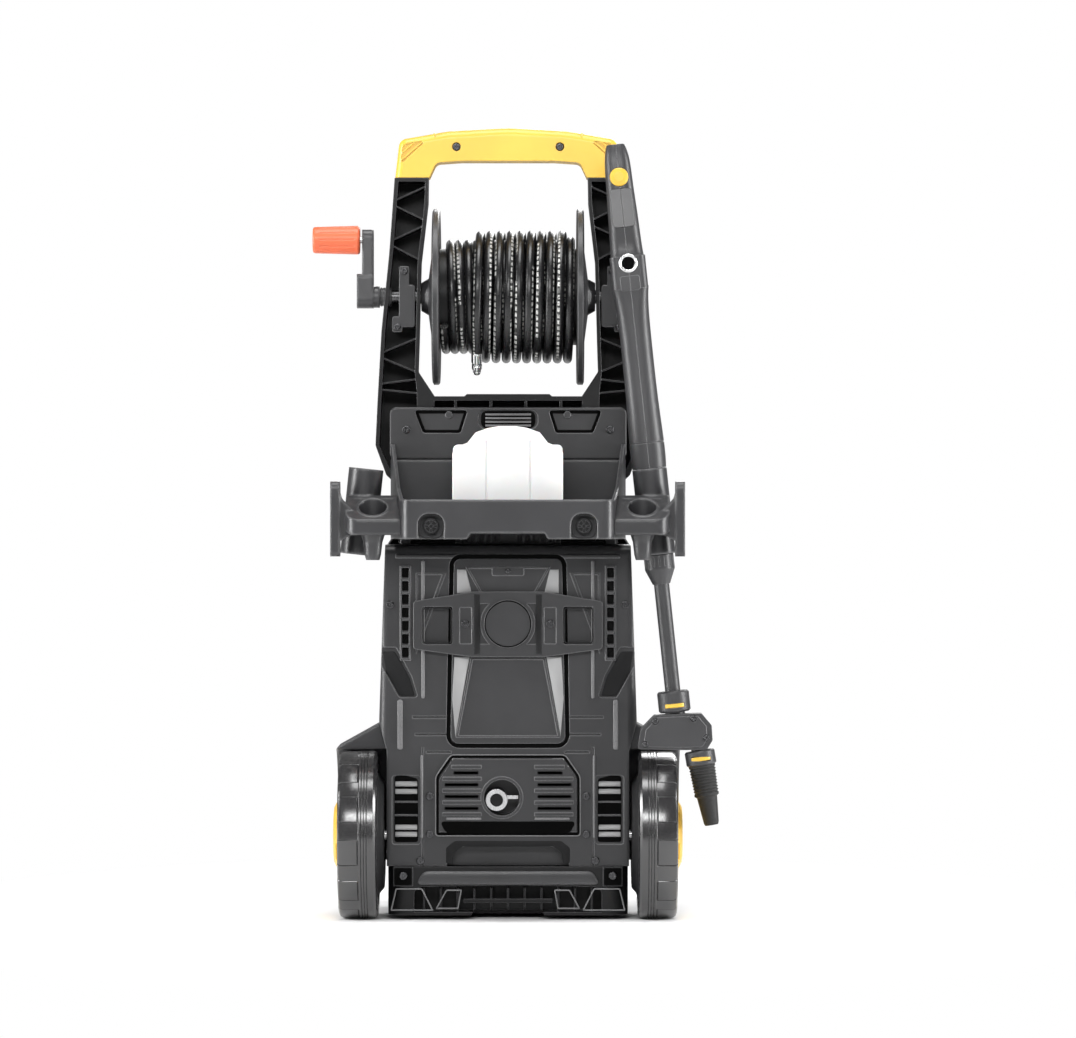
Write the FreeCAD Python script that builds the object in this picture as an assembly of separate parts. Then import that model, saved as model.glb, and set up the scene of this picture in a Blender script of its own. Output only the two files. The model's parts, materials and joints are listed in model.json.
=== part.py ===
"""Upright electric pressure washer with a hose reel, as separate pieces, in millimetres.

The origin is on the floor under the middle of the machine. +Z is up, -Y is the rear, where the
operator stands, and +X is to the operator's right.
"""

import FreeCAD, Part
import math
import os

# Clearances
SEAM = 0.4  # between covers that are screwed together
FIT = 0.3  # between a fixed piece and the pocket it sits in
RUN = 0.08  # radial, round a turning shaft
LOOSE = 0.5  # round a piece that is lifted out by hand

# Wheels and axle
WHEEL_R = 95.0
WHEEL_Y = -75.0
CASE_MID_HALF = 146.0
TYRE_IN = CASE_MID_HALF + 1.0  # inner face of a tyre, from the middle
TYRE_W = 44.0
TYRE_STEP = 1.0  # the outer half of the tread is this much smaller
TYRE_DEPTH = 15.0
TREAD_LUGS = 30
TREAD_DEPTH = 1.6
RIM_WALL = 4.0
HUB_R = 17.0
HUB_IN = TYRE_IN - 7.0  # inner end of a wheel hub, from the middle
CAP_DISC_R = 77.0
CAP_BULGE_R = 38.0
CAP_BULGE = 6.0
CAP_T = 2.5
SPOKES = 6
AXLE_R = 6.0

# Base frame
CASE_LOW_HALF = 137.0
BASE_HALF = CASE_LOW_HALF - 1.0
BASE_REAR = -97.0
BASE_FRONT = 148.0
BASE_BOTTOM = 5.0
BASE_TOP = 60.0
BASE_WALL = 3.0
BASE_FLOOR = 3.5
BASE_CORNER = 24.0
BAR_BOTTOM = 37.0  # lower edge of the rear bar
WINDOW_HALF = 106.0  # the ribbed window under that bar
RIB_PITCH = 19.0
RIB_T = 2.0
NOTCH_HALF = 42.0
NOTCH_TOP = 15.0
LIGHT_BAR_HALF = 50.0
BASE_BOX_X = 118.5
BASE_BOX_Z = 49.7
BASE_BOX_W = 22.0
TOWER_X = 112.0  # inner face of an axle tower
TOWER_W = 14.0
FOOT_X = 116.0
FOOT_Y = 118.0
FOOT_W = 38.0
FOOT_STUD_R = 6.0

# Lower casing
CASE_BOTTOM = BASE_TOP + SEAM
CASE_TOP = 424.0
CASE_TOP_HALF = 139.0
CASE_MID_Z = 224.0
CASE_LOW_Z = 190.0
CASE_REAR = -95.0
CASE_SPLIT = 0.0  # plane where the rear and front covers meet
CASE_FRONT = 150.0
CASE_WALL = 3.0
REAR_WALL = 5.0
CASE_ROUND = 12.0
NECK_HALF = 126.0
NECK_TOP = CASE_TOP + 158.0
NECK_FRONT = 34.0

# Middle panel, ladders, vents and screws of the rear cover
PANEL_TOP = CASE_TOP - 16.0
PANEL_BOTTOM = 199.0
PANEL_TOP_HALF = 61.0
PANEL_BOTTOM_HALF = 65.0
GROOVE_W = 5.0
GROOVE_DEPTH = 2.5
INLET_PANEL = [(-62, 182), (62, 182), (77.5, 159), (77.5, 99), (-77.5, 99), (-77.5, 159)]
GRIP_ARCH_HALF = 69.0
GRIP_ARCH_TOP = 88.0
VENT_X0 = 102.0
VENT_X1 = 128.0
VENT_Z0 = 88.0
VENT_Z1 = 160.0
VENT_SLOTS = 9
VENT_SHARE = 0.56  # open share of the vent's height
LADDER_X = 116.0
LADDER_Z0 = CASE_TOP - 130.0
LADDER_Z1 = CASE_TOP - 25.0
LADDER_RUNGS = 7
PLATE_Z = CASE_TOP - 30.0  # screw of the small plate over the bracket
CASE_SCREWS = [(133, CASE_TOP - 68), (88.5, 139.6), (88.5, 96.4), (99, 66.5)]

# Accessory bracket
BRACKET_Z = CASE_TOP - 89.5
BRACKET_SCREW_X = 48.0
BRACKET_T = 5.0
BRACKET_GAP = 3.0
DISC_R = 26.7

# Switch and gland
SWITCH_Z = 300.0
SWITCH_R = 24.0
GLAND_R = 8.0
GLAND_BORE_R = 3.8
GLAND_X = -90.0
GLAND_Z = 85.0

# Fenders
FENDER_OUT = TYRE_IN + TYRE_W + 5.0
FENDER_REAR = -46.0
FENDER_GAP = 5.0
FENDER_TOP = 2 * WHEEL_R + 2.0

# Handle frame
POST_DEPTH = 44.6
POST_REAR = CASE_SPLIT - SEAM - POST_DEPTH
POST_FRONT = CASE_SPLIT - SEAM
POST_WEB = 3.0
POST_OUTER_WALL = 4.3
POST_INNER_WALL = 3.8
POST_TOP = CASE_TOP + 418.0
CROSSBAR_BOTTOM = NECK_TOP
CROSSBAR_TOP = CROSSBAR_BOTTOM + 11.0
REEL_Y = -25.0
REEL_Z = POST_TOP - 135.0
CROSSBAR_RISE = 2.5
CROSSBAR_RISE_HALF = 47.0
TONGUE_TOP = POST_TOP + 26.0
POST_PATH_OUT = [
    (125, CASE_TOP + SEAM), (125, CASE_TOP + 66), (139, CASE_TOP + 79, 8), (151.4, CASE_TOP + 113, 10),
    (149, CROSSBAR_BOTTOM + 6), (144.6, REEL_Z - 40), (135.6, REEL_Z + 50), (129.5, POST_TOP),
]
POST_PATH_IN = [
    (91, POST_TOP), (91.5, POST_TOP - 28), (99.4, REEL_Z + 39), (101.7, REEL_Z - 52),
    (102.8, CROSSBAR_TOP + 28.5, 6), (84, CROSSBAR_TOP), (84, CROSSBAR_BOTTOM), (100, CROSSBAR_BOTTOM - 14),
    (100, CASE_TOP + SEAM),
]
RIB_APEXES = [POST_TOP - 28.5, REEL_Z + 61, REEL_Z - 67, CROSSBAR_TOP + 11]
COVER_SCREW = (116.0, CROSSBAR_BOTTOM - 27.0)
GRIP_TONGUE = (98.0, 121.0)

# Upper rear cover
COVER_T = 5.0
COVER_BOTTOM = CASE_TOP + 97.0
COVER_TOP = CROSSBAR_BOTTOM - 1.5
COVER_HALF = 135.0

# Grip
GRIP_TOP = POST_TOP + 57.5
GRIP_UNDER = POST_TOP + 19.5
GRIP_SHOULDER = POST_TOP + 44.0  # height of the outer corners
GRIP_BEND_X = 69.0
GRIP_BEND = GRIP_TOP - 4.0
GRIP_HALF = 129.0
GRIP_WALL = 3.0
GRIP_ROUND = 9.0
GRIP_SCREW_X = 59.0
GRIP_SINK = 3.0  # depth of the pockets round the screws
GRIP_SCREW_Z = POST_TOP + 35.5

# Reel
FLANGE_R = 100.6
FLANGE_FACE = 78.0  # inner face of a flange, from the middle
FLANGE_RIM_T = 8.4
FLANGE_DISH = 13.0
REEL_HUB_R = 17.0
REEL_HUB_END = 99.4
DRUM_R = 55.0
DRUM_WALL = 3.0
REEL_SHAFT_R = 8.0
SHAFT_PAST_BLOCK = 4.0
SWIVEL_R = 11.0
SWIVEL_L = 9.5
BLOCK_W = 18.0
BLOCK_REAR = POST_REAR + 2
BLOCK_IN = 106.5
BLOCK_SCREWS = [(118.7, REEL_Z + 28.6), (126.5, REEL_Z - 35.0)]
LUG_HALF = 5.6
LUG_T = 5.0

# Hose
HOSE_R = 5.0
STEP_X = -29.0  # where the second layer of turns begins
TAIL_ANGLE = 35.0  # how far round below the rear the end leaves the turns
TAIL_LENGTH = 29.0
FERRULE_R = 6.3
LAYER_IN = DRUM_R + FIT
LAYER_ONE = DRUM_R + 2 * HOSE_R
LAYER_TWO = DRUM_R + 4.3 * HOSE_R

# Crank
CRANK_IN = 147.0
CRANK_OUT = 173.0
CRANK_R = 65.0
CRANK_ARM_W = 13.0
CRANK_HUB_R = 12.4
CRANK_PIN_R = 4.0
KNOB_LENGTH = 54.0
KNOB_R_IN = 16.5
KNOB_R_OUT = 15.0

# Gun and lance, along their own axis from GUN_REF
GUN_Y = -112.0
GUN_REF_X = 156.8
GUN_REF_Z = CASE_TOP + 112.8
GUN_LEAN = 6.0
GUN_TOP = 340.0
GUN_BLOCK_LOW = 186.0
GUN_BLOCK_HIGH = 213.0
GUN_SEAT = -27.0  # the shoulder that rests on the holster
NOSE_R = 16.9
NOSE_END = -124.0
BARREL_R = 10.0
LANCE_R = 8.65
LANCE_END = -279.0
RING_R = 18.0
RING_L = 24.0
HEAD_DEPTH = 30.0
HEAD_PLATE_T = 2.5
NOZZLE_LEAN = 9.5
NOZZLE_RING_R = 17.0
STUB_R = 9.0  # the spigot that the nozzle's ring turns on
NOZZLE_RING_L = 17.0
NOZZLE_L = 68.0
BUTTON_R = 10.4
BUTTON_Z = 302.6
INLET_RING_R = 10.4
INLET_BORE_R = 7.2
GUN_INLET_Z = 204.8
TRIGGER_W = 10.0
TRIGGER_PIVOT_Z = 222.0
HEAD_TOP = LANCE_END - RING_L
HEAD_OUTLINE = [(-38.7, -19, 4), (-23.4, -3.2, 3), (29.6, -1, 4), (41, -14.5, 4), (42.1, -31.5, 5),
                (35.9, -41.6, 4), (12.2, -42.6, 4), (-42.6, -41.6, 3)]
HEAD_SCREWS = [(-22.6, -10.2), (20.2, -6.6), (35, -28.8), (-33.9, -36.0)]

# Shelf
SHELF_REAR_TOP = COVER_BOTTOM + 17.0
BASKET_BOTTOM = CASE_TOP + 6.5
BASKET_FLOOR = BASKET_BOTTOM + 10.2
BASKET_TOP = BASKET_BOTTOM + 44.1
BASKET_BACK = POST_REAR - SEAM
BASKET_FRONT = -190.0
BASKET_HALF_BACK = 134.0
BASKET_HALF_FRONT = 118.0
BASKET_WALL = 4.0
BAR_T = 22.0
ARCH_X = 85.3
ARCH_HALF = 14.5
ARCH_Z = BASKET_BOTTOM + 14.5
CAP_SCREW_R = 9.0
WING_END = 181.0
WING_BACK_Y = -128.0
WING_BACK_Z = CASE_TOP + 57.0
WING_FRONT_Y = -178.0
WING_FRONT_Z = WING_BACK_Z - 29.0
WING_T = 18.0
CUP_X = 151.0
CUP_Y = -154.0
CUP_R = 18.4
CUP_WALL = 2.4
CUP_BOTTOM = WING_BACK_Z - 68.0
SOCKET_WALL = 2.1
SOCKET_BOTTOM = WING_BACK_Z - 68.0
HORN_IN = 188.0
HORN_OUT = 198.6
HORN_TOP = WING_BACK_Z + 14.0
HORN_BOTTOM = WING_BACK_Z - 70.0
WING_SCREW_Y = WING_BACK_Y - 8
WING_SCREW_Z = WING_BACK_Z - 19.0

# Tank
TANK_HALF = 62.0
TANK_TOP = BASKET_FLOOR + 116.3
TANK_BACK = -60.0
TANK_FRONT = -152.0
TANK_WALL = 2.5
NECK_R = 15.0
TANK_NECK_Y = -84.0
TANK_NECK_Z = TANK_TOP - 16.0
TANK_CAP_R = 18.5
TANK_CAP_H = 13.0

# Motor and pump, upright on one axis
UNIT_Y = 42.0
PUMP_BOTTOM = 75.0
PUMP_HEAD_TOP = 150.0
PUMP_TOP = 215.0
PUMP_R = 50.0
MOTOR_TOP = 335.0
MOTOR_R = 54.0
MOTOR_WALL = 3.0
STATOR_IN_R = 37.5
ROTOR_R = 36.5
MOTOR_SHAFT_R = 7.0
FAN_R = 44.0
PLUNGER_R = 7.0
PLUNGER_PITCH_R = 26.0
WOBBLE_TILT = 9.0
PUMP_PLAY = 0.6  # between the wobble plate and the plungers
WATER_X = -12.9
WATER_Z = 134.9
WATER_R = 12.3
WATER_BORE_R = 7.2
WELL_X = -6.8
WELL_Z = 137.9
WELL_R = 20.3

# Screws
SCREW_HEAD_R = 4.6
SCREW_HEAD_H = 2.2
SCREW_R = 2.0
SCREW_L = 8.0

X_AXIS = FreeCAD.Vector(1, 0, 0)
Y_AXIS = FreeCAD.Vector(0, 1, 0)
Z_AXIS = FreeCAD.Vector(0, 0, 1)


def vec(x, y, z):
    """A point or direction."""
    return FreeCAD.Vector(x, y, z)


def on_plane(plane, u, v, level):
    """The 3-D point of (u, v) on a coordinate plane at a level."""
    if plane == "XY":
        return vec(u, v, level)
    if plane == "XZ":
        return vec(u, level, v)
    return vec(level, u, v)


def outline(corners, plane, level):
    """A closed wire through (u, v) or (u, v, radius) corners, the latter rounded by an arc."""
    pieces = []
    count = len(corners)
    for i in range(count):
        here = vec(corners[i][0], corners[i][1], 0)
        radius = corners[i][2] if len(corners[i]) > 2 else 0
        if radius == 0:
            pieces.append((here, None, here))
            continue
        back = vec(corners[i - 1][0], corners[i - 1][1], 0) - here
        ahead = vec(corners[(i + 1) % count][0], corners[(i + 1) % count][1], 0) - here
        half = back.getAngle(ahead) / 2
        back.normalize()
        ahead.normalize()
        reach = radius / math.tan(half)
        inward = back + ahead
        inward.normalize()
        centre = here + inward * (radius / math.sin(half))
        pieces.append((here + back * reach, centre - inward * radius, here + ahead * reach))
    edges = []
    for i in range(count):
        start, middle, end = (p and on_plane(plane, p.x, p.y, level) for p in pieces[i])
        if middle:
            edges.append(Part.Arc(start, middle, end).toShape())
        following = pieces[(i + 1) % count][0]
        following = on_plane(plane, following.x, following.y, level)
        if end.distanceToPoint(following) > 1e-6:
            edges.append(Part.makeLine(end, following))
    return Part.Wire(edges)


def prism(corners, plane, low, high):
    """A solid whose section on a coordinate plane is the outline, from level low to high."""
    along = {"XY": Z_AXIS, "XZ": Y_AXIS, "YZ": X_AXIS}[plane]
    return Part.Face(outline(corners, plane, low)).extrude(along * (high - low))


def rect(u0, u1, v0, v1, radius=0):
    """The four corners of a rectangle, rounded where a radius is given."""
    return [(u0, v0, radius), (u1, v0, radius), (u1, v1, radius), (u0, v1, radius)]


def box(x0, x1, y0, y1, z0, z1):
    """A plain box between two corners."""
    return Part.makeBox(x1 - x0, y1 - y0, z1 - z0, vec(x0, y0, z0))


def rod(radius, start, end):
    """A cylinder from one point to another."""
    return Part.makeCylinder(radius, start.distanceToPoint(end), start, end - start)


def pipe(outer, inner, start, end):
    """A tube from one point to another."""
    return rod(outer, start, end).cut(rod(inner, start, end))


def turned(profile, start, direction):
    """A solid of revolution: profile holds (distance along the axis, radius) corners."""
    corners = [(p[1], p[0]) + tuple(p[2:]) for p in profile]
    solid = Part.Face(outline(corners, "XZ", 0)).revolve(vec(0, 0, 0), Z_AXIS, 360)
    solid.Placement = FreeCAD.Placement(start, FreeCAD.Rotation(Z_AXIS, direction))
    return solid


def joined(*shapes):
    """One solid made of several that overlap or touch."""
    return shapes[0].multiFuse(list(shapes[1:])).removeSplitter()


def mirrored(shape):
    """The left-hand twin of a right-hand shape."""
    return shape.mirror(vec(0, 0, 0), X_AXIS)


def pair(shape):
    """A shape and its twin."""
    return [shape, mirrored(shape)]


def rounded(shape, radius, chosen):
    """The shape with the edges rounded for which chosen(edge) is true."""
    return shape.makeFillet(radius, [edge for edge in shape.Edges if chosen(edge)])


def at_level(axis, level):
    """Picks the edges that lie wholly at one level of an axis (0, 1 or 2)."""

    def chosen(edge):
        bounds = edge.BoundBox
        low = (bounds.XMin, bounds.YMin, bounds.ZMin)[axis]
        high = (bounds.XMax, bounds.YMax, bounds.ZMax)[axis]
        return abs(low - level) < 0.01 and abs(high - level) < 0.01

    return chosen


def screw(seat, direction, head_r=SCREW_HEAD_R, length=SCREW_L):
    """A cross-recess screw whose head rests at seat; direction points into the piece."""
    outward = direction * -1
    head = turned([(0, 0), (0, head_r), (SCREW_HEAD_H, head_r, 1.2), (SCREW_HEAD_H, 0)], seat, outward)
    side = X_AXIS if abs(direction.y) > 0.5 else Y_AXIS
    up = side.cross(outward)
    slots = []
    for span in (side, up):
        across = outward.cross(span)
        start = seat + outward * (SCREW_HEAD_H - 1.0) - span * (head_r * 0.55) - across * 0.5
        slot = Part.makeBox(head_r * 1.1, 1.0, 2.0)
        slot.Placement = FreeCAD.Placement(start, FreeCAD.Rotation(span, across, outward, "XYZ"))
        slots.append(slot)
    shank = rod(SCREW_R, seat - outward * length, seat + outward * 0.5)
    return head.cut(Part.makeCompound(slots)).fuse(shank)


def screw_hole(seat, direction, length=SCREW_L + 1):
    """The hole for a screw's shank, a little deeper than the screw."""
    return rod(SCREW_R + RUN, seat - direction * 3, seat + direction * length)


def gun_point(along, side=0.0, depth=0.0):
    """A point given by its distance along the gun's axis, sideways and in depth."""
    lean = math.radians(GUN_LEAN)
    x = GUN_REF_X + side * math.cos(lean) - along * math.sin(lean)
    z = GUN_REF_Z + side * math.sin(lean) + along * math.cos(lean)
    return vec(x, GUN_Y + depth, z)


def on_gun(shape):
    """A shape drawn upright about the gun's axis, put where the gun hangs."""
    shape.Placement = FreeCAD.Placement(
        vec(GUN_REF_X, GUN_Y, GUN_REF_Z), FreeCAD.Rotation(Y_AXIS, -GUN_LEAN)
    ).multiply(shape.Placement)
    return shape


GUN_UP = gun_point(1) - gun_point(0)
AXLE_Z = WHEEL_R
AXLE_POINT = vec(0, WHEEL_Y, AXLE_Z)


# Base frame, feet and axle


def base_frame():
    """A ribbed pan with a rear window, two axle towers and a cradle for the pump."""
    pan = prism(
        rect(-BASE_HALF, BASE_HALF, BASE_REAR, BASE_FRONT, BASE_CORNER), "XY", BASE_BOTTOM, BASE_TOP
    )
    inner = BASE_HALF - BASE_WALL
    hollow = prism(
        rect(-inner, inner, BASE_REAR + BASE_WALL, BASE_FRONT - BASE_WALL, BASE_CORNER - BASE_WALL),
        "XY",
        BASE_BOTTOM + BASE_FLOOR,
        BASE_TOP + 1,
    )
    window = prism(
        [
            (-WINDOW_HALF, BASE_BOTTOM + BASE_FLOOR),
            (WINDOW_HALF, BASE_BOTTOM + BASE_FLOOR),
            (WINDOW_HALF, BAR_BOTTOM, 9),
            (0, BAR_BOTTOM + 2),
            (-WINDOW_HALF, BAR_BOTTOM, 9),
        ],
        "XZ",
        BASE_REAR - 1,
        BASE_REAR + BASE_WALL + 1,
    )
    floor_top = BASE_BOTTOM + BASE_FLOOR
    rib_rear = BASE_REAR + BASE_WALL + 2
    ribs = []
    count = int(WINDOW_HALF // RIB_PITCH)
    for i in range(-count, count + 1):
        x = i * RIB_PITCH
        ribs.append(box(x - RIB_T / 2, x + RIB_T / 2, rib_rear, -62, floor_top, BAR_BOTTOM - 2))
    ribs.append(box(-inner, inner, -64, -62, floor_top, BAR_BOTTOM))
    ribs.append(box(-LIGHT_BAR_HALF, LIGHT_BAR_HALF, BASE_REAR + 1, rib_rear + 2, 19, 23.5))
    box_half = BASE_BOX_W / 2
    lugs = pair(box(BASE_BOX_X - box_half, BASE_BOX_X + box_half, BASE_REAR - 3, -84, 38, BASE_TOP))
    tower = prism(
        [(WHEEL_Y - 13, floor_top), (WHEEL_Y + 13, floor_top), (WHEEL_Y + 13, AXLE_Z + 15, 10),
         (WHEEL_Y - 13, AXLE_Z + 15, 10)],
        "YZ",
        TOWER_X,
        TOWER_X + TOWER_W,
    )
    cradle = []
    for y in (UNIT_Y - 32, UNIT_Y + 26):
        cradle.append(box(-40, 40, y, y + 6, floor_top, PUMP_BOTTOM))
    cradle.append(box(-40, -36, UNIT_Y - 32, UNIT_Y + 32, floor_top, PUMP_BOTTOM - 8))
    cradle.append(box(36, 40, UNIT_Y - 32, UNIT_Y + 32, floor_top, PUMP_BOTTOM - 8))
    frame = joined(pan.cut(hollow).cut(window), *ribs, *lugs, *pair(tower), *cradle)
    notch = prism(
        [(-NOTCH_HALF, BASE_BOTTOM - 1), (NOTCH_HALF, BASE_BOTTOM - 1), (NOTCH_HALF - 6, NOTCH_TOP, 4),
         (-NOTCH_HALF + 6, NOTCH_TOP, 4)],
        "XZ",
        BASE_REAR - 1,
        -66,
    )
    cuts = [notch, rod(AXLE_R + RUN, vec(-150, WHEEL_Y, AXLE_Z), vec(150, WHEEL_Y, AXLE_Z))]
    for x in (-BASE_BOX_X, BASE_BOX_X):
        cuts.append(screw_hole(vec(x, BASE_REAR - 3, BASE_BOX_Z), Y_AXIS))
    for x in (-FOOT_X, FOOT_X):
        cuts.append(rod(FOOT_STUD_R + 0.1, vec(x, FOOT_Y, 0), vec(x, FOOT_Y, 20)))
    return frame.cut(Part.makeCompound(cuts))


def front_feet():
    """Two rubber pads, each with a stud pressed up through the base floor."""
    half = FOOT_W / 2
    pad = prism(rect(FOOT_X - half, FOOT_X + half, FOOT_Y - half, FOOT_Y + half, 8), "XY", 0, BASE_BOTTOM)
    pad = rounded(pad, 1.5, at_level(2, 0))
    stud = rod(FOOT_STUD_R, vec(FOOT_X, FOOT_Y, 0.5), vec(FOOT_X, FOOT_Y, BASE_BOTTOM + BASE_FLOOR + 4))
    return pair(joined(pad, stud))


def axle_half():
    """Half the length of the axle, which ends inside the hubcaps."""
    return TYRE_IN + TYRE_W - 4


def axle():
    """The steel axle that both wheels turn on, with its two retaining heads."""
    end = axle_half()
    bar = rod(AXLE_R, vec(-end, WHEEL_Y, AXLE_Z), vec(end, WHEEL_Y, AXLE_Z))
    heads = []
    for side in (-1, 1):
        start = vec(side * (end - 3), WHEEL_Y, AXLE_Z)
        heads.append(rod(AXLE_R + 3, start, vec(side * end, WHEEL_Y, AXLE_Z)))
    return joined(bar, *heads)


# Wheels, drawn on the right and mirrored to the left


def wheel():
    """A plastic rim with a spoked web and a hub that runs on the axle."""
    tyre_bed = WHEEL_R - TYRE_DEPTH
    out = TYRE_IN + TYRE_W
    start = vec(TYRE_IN, WHEEL_Y, AXLE_Z)
    rim = pipe(tyre_bed - 0.1, tyre_bed - RIM_WALL, start, vec(out - 2, WHEEL_Y, AXLE_Z))
    hub_end = axle_half() - 3 - 0.3
    hub = rod(HUB_R, vec(HUB_IN, WHEEL_Y, AXLE_Z), vec(hub_end, WHEEL_Y, AXLE_Z))
    web_x = TYRE_IN + TYRE_W * 0.45
    web = rod(tyre_bed - 1, vec(web_x, WHEEL_Y, AXLE_Z), vec(web_x + 4, WHEEL_Y, AXLE_Z))
    ribs = []
    for i in range(SPOKES):
        rib = box(TYRE_IN + 2, web_x + 1, -2, 2, HUB_R - 2, tyre_bed - 1)
        rib.rotate(vec(0, 0, 0), X_AXIS, i * 360 / SPOKES)
        rib.translate(AXLE_POINT)
        ribs.append(rib)
    body = joined(rim, hub, web, *ribs)
    bore = rod(AXLE_R + RUN, vec(HUB_IN - 1, WHEEL_Y, AXLE_Z), vec(out, WHEEL_Y, AXLE_Z))
    return body.cut(bore)


def tyre():
    """A stepped tread with grooves round it and lugs across its outer half."""
    bed = WHEEL_R - TYRE_DEPTH
    step = TYRE_W * 0.52
    low = WHEEL_R - TYRE_STEP
    profile = [(0, bed), (TYRE_W, bed), (TYRE_W, low, 5), (step, low), (step, WHEEL_R), (0, WHEEL_R, 4)]
    solid = turned(profile, vec(TYRE_IN, WHEEL_Y, AXLE_Z), X_AXIS)
    cuts = []
    for x in (0.3, 0.38, 0.46):
        start = vec(TYRE_IN + TYRE_W * x, WHEEL_Y, AXLE_Z)
        cuts.append(pipe(WHEEL_R + 1, WHEEL_R - TREAD_DEPTH, start, start + X_AXIS * 1.4))
    for i in range(TREAD_LUGS):
        lug = box(TYRE_IN + step + 3, TYRE_IN + TYRE_W + 1, -1, 1, low - TREAD_DEPTH, WHEEL_R + 1)
        lug.rotate(vec(0, 0, 0), X_AXIS, i * 360 / TREAD_LUGS + 6)
        lug.translate(AXLE_POINT)
        cuts.append(lug)
    return solid.cut(Part.makeCompound(cuts))


def hubcap():
    """A yellow disc over the outer face of a wheel, bulged over the axle's end."""
    out = TYRE_IN + TYRE_W
    face = out - 2
    profile = [
        (0, 0),
        (0, CAP_DISC_R),
        (CAP_T, CAP_DISC_R, 1),
        (CAP_T, CAP_BULGE_R + 6, 4),
        (CAP_T + CAP_BULGE, CAP_BULGE_R - 6, 5),
        (CAP_T + CAP_BULGE, 0),
    ]
    disc = turned(profile, vec(face, WHEEL_Y, AXLE_Z), X_AXIS)
    fit_r = WHEEL_R - TYRE_DEPTH - RIM_WALL - FIT
    rim = pipe(fit_r, fit_r - 2, vec(face - 5, WHEEL_Y, AXLE_Z), vec(face + 1, WHEEL_Y, AXLE_Z))
    recess = rod(AXLE_R + 5, vec(face - 1, WHEEL_Y, AXLE_Z), vec(face + 4, WHEEL_Y, AXLE_Z))
    return joined(disc, rim).cut(recess)


# Lower casing


def case_outline(inset):
    """The casing's outline from the rear, drawn inward by inset."""
    return [
        (-CASE_LOW_HALF + inset, CASE_BOTTOM),
        (CASE_LOW_HALF - inset, CASE_BOTTOM),
        (CASE_LOW_HALF - inset, CASE_LOW_Z),
        (CASE_MID_HALF - inset, CASE_MID_Z),
        (CASE_TOP_HALF - inset, CASE_TOP - inset),
        (-CASE_TOP_HALF + inset, CASE_TOP - inset),
        (-CASE_MID_HALF + inset, CASE_MID_Z),
        (-CASE_LOW_HALF + inset, CASE_LOW_Z),
    ]


def rear_shell(inset, rear, front):
    """The rear half of the casing as a solid with rounded rear edges."""
    solid = prism(case_outline(inset), "XZ", rear, front)
    plan_half = CASE_MID_HALF - inset
    plan = prism(
        [(-plan_half, front), (-plan_half, rear, CASE_ROUND), (plan_half, rear, CASE_ROUND),
         (plan_half, front)],
        "XY",
        CASE_BOTTOM - 1,
        CASE_TOP + 1,
    )
    side = prism(
        [(front, CASE_BOTTOM - 1), (rear, CASE_BOTTOM - 1), (rear, CASE_TOP - inset, CASE_ROUND),
         (front, CASE_TOP - inset)],
        "YZ",
        -CASE_MID_HALF,
        CASE_MID_HALF,
    )
    return solid.common(plan).common(side)


def panel_outline(grow):
    """The recessed middle panel's outline, grown outward."""
    return [
        (-PANEL_TOP_HALF - grow, PANEL_TOP + grow, 8 + grow),
        (PANEL_TOP_HALF + grow, PANEL_TOP + grow, 8 + grow),
        (PANEL_BOTTOM_HALF + grow, PANEL_BOTTOM - grow, 10 + grow),
        (-PANEL_BOTTOM_HALF - grow, PANEL_BOTTOM - grow, 10 + grow),
    ]


def frame_line(corners, inner, plane_rear, height):
    """A raised line between an outer and an inner outline on the rear face."""
    outer = prism(corners, "XZ", plane_rear - height, plane_rear + 0.5)
    return outer.cut(prism(inner, "XZ", plane_rear - height - 1, plane_rear + 1))


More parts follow.
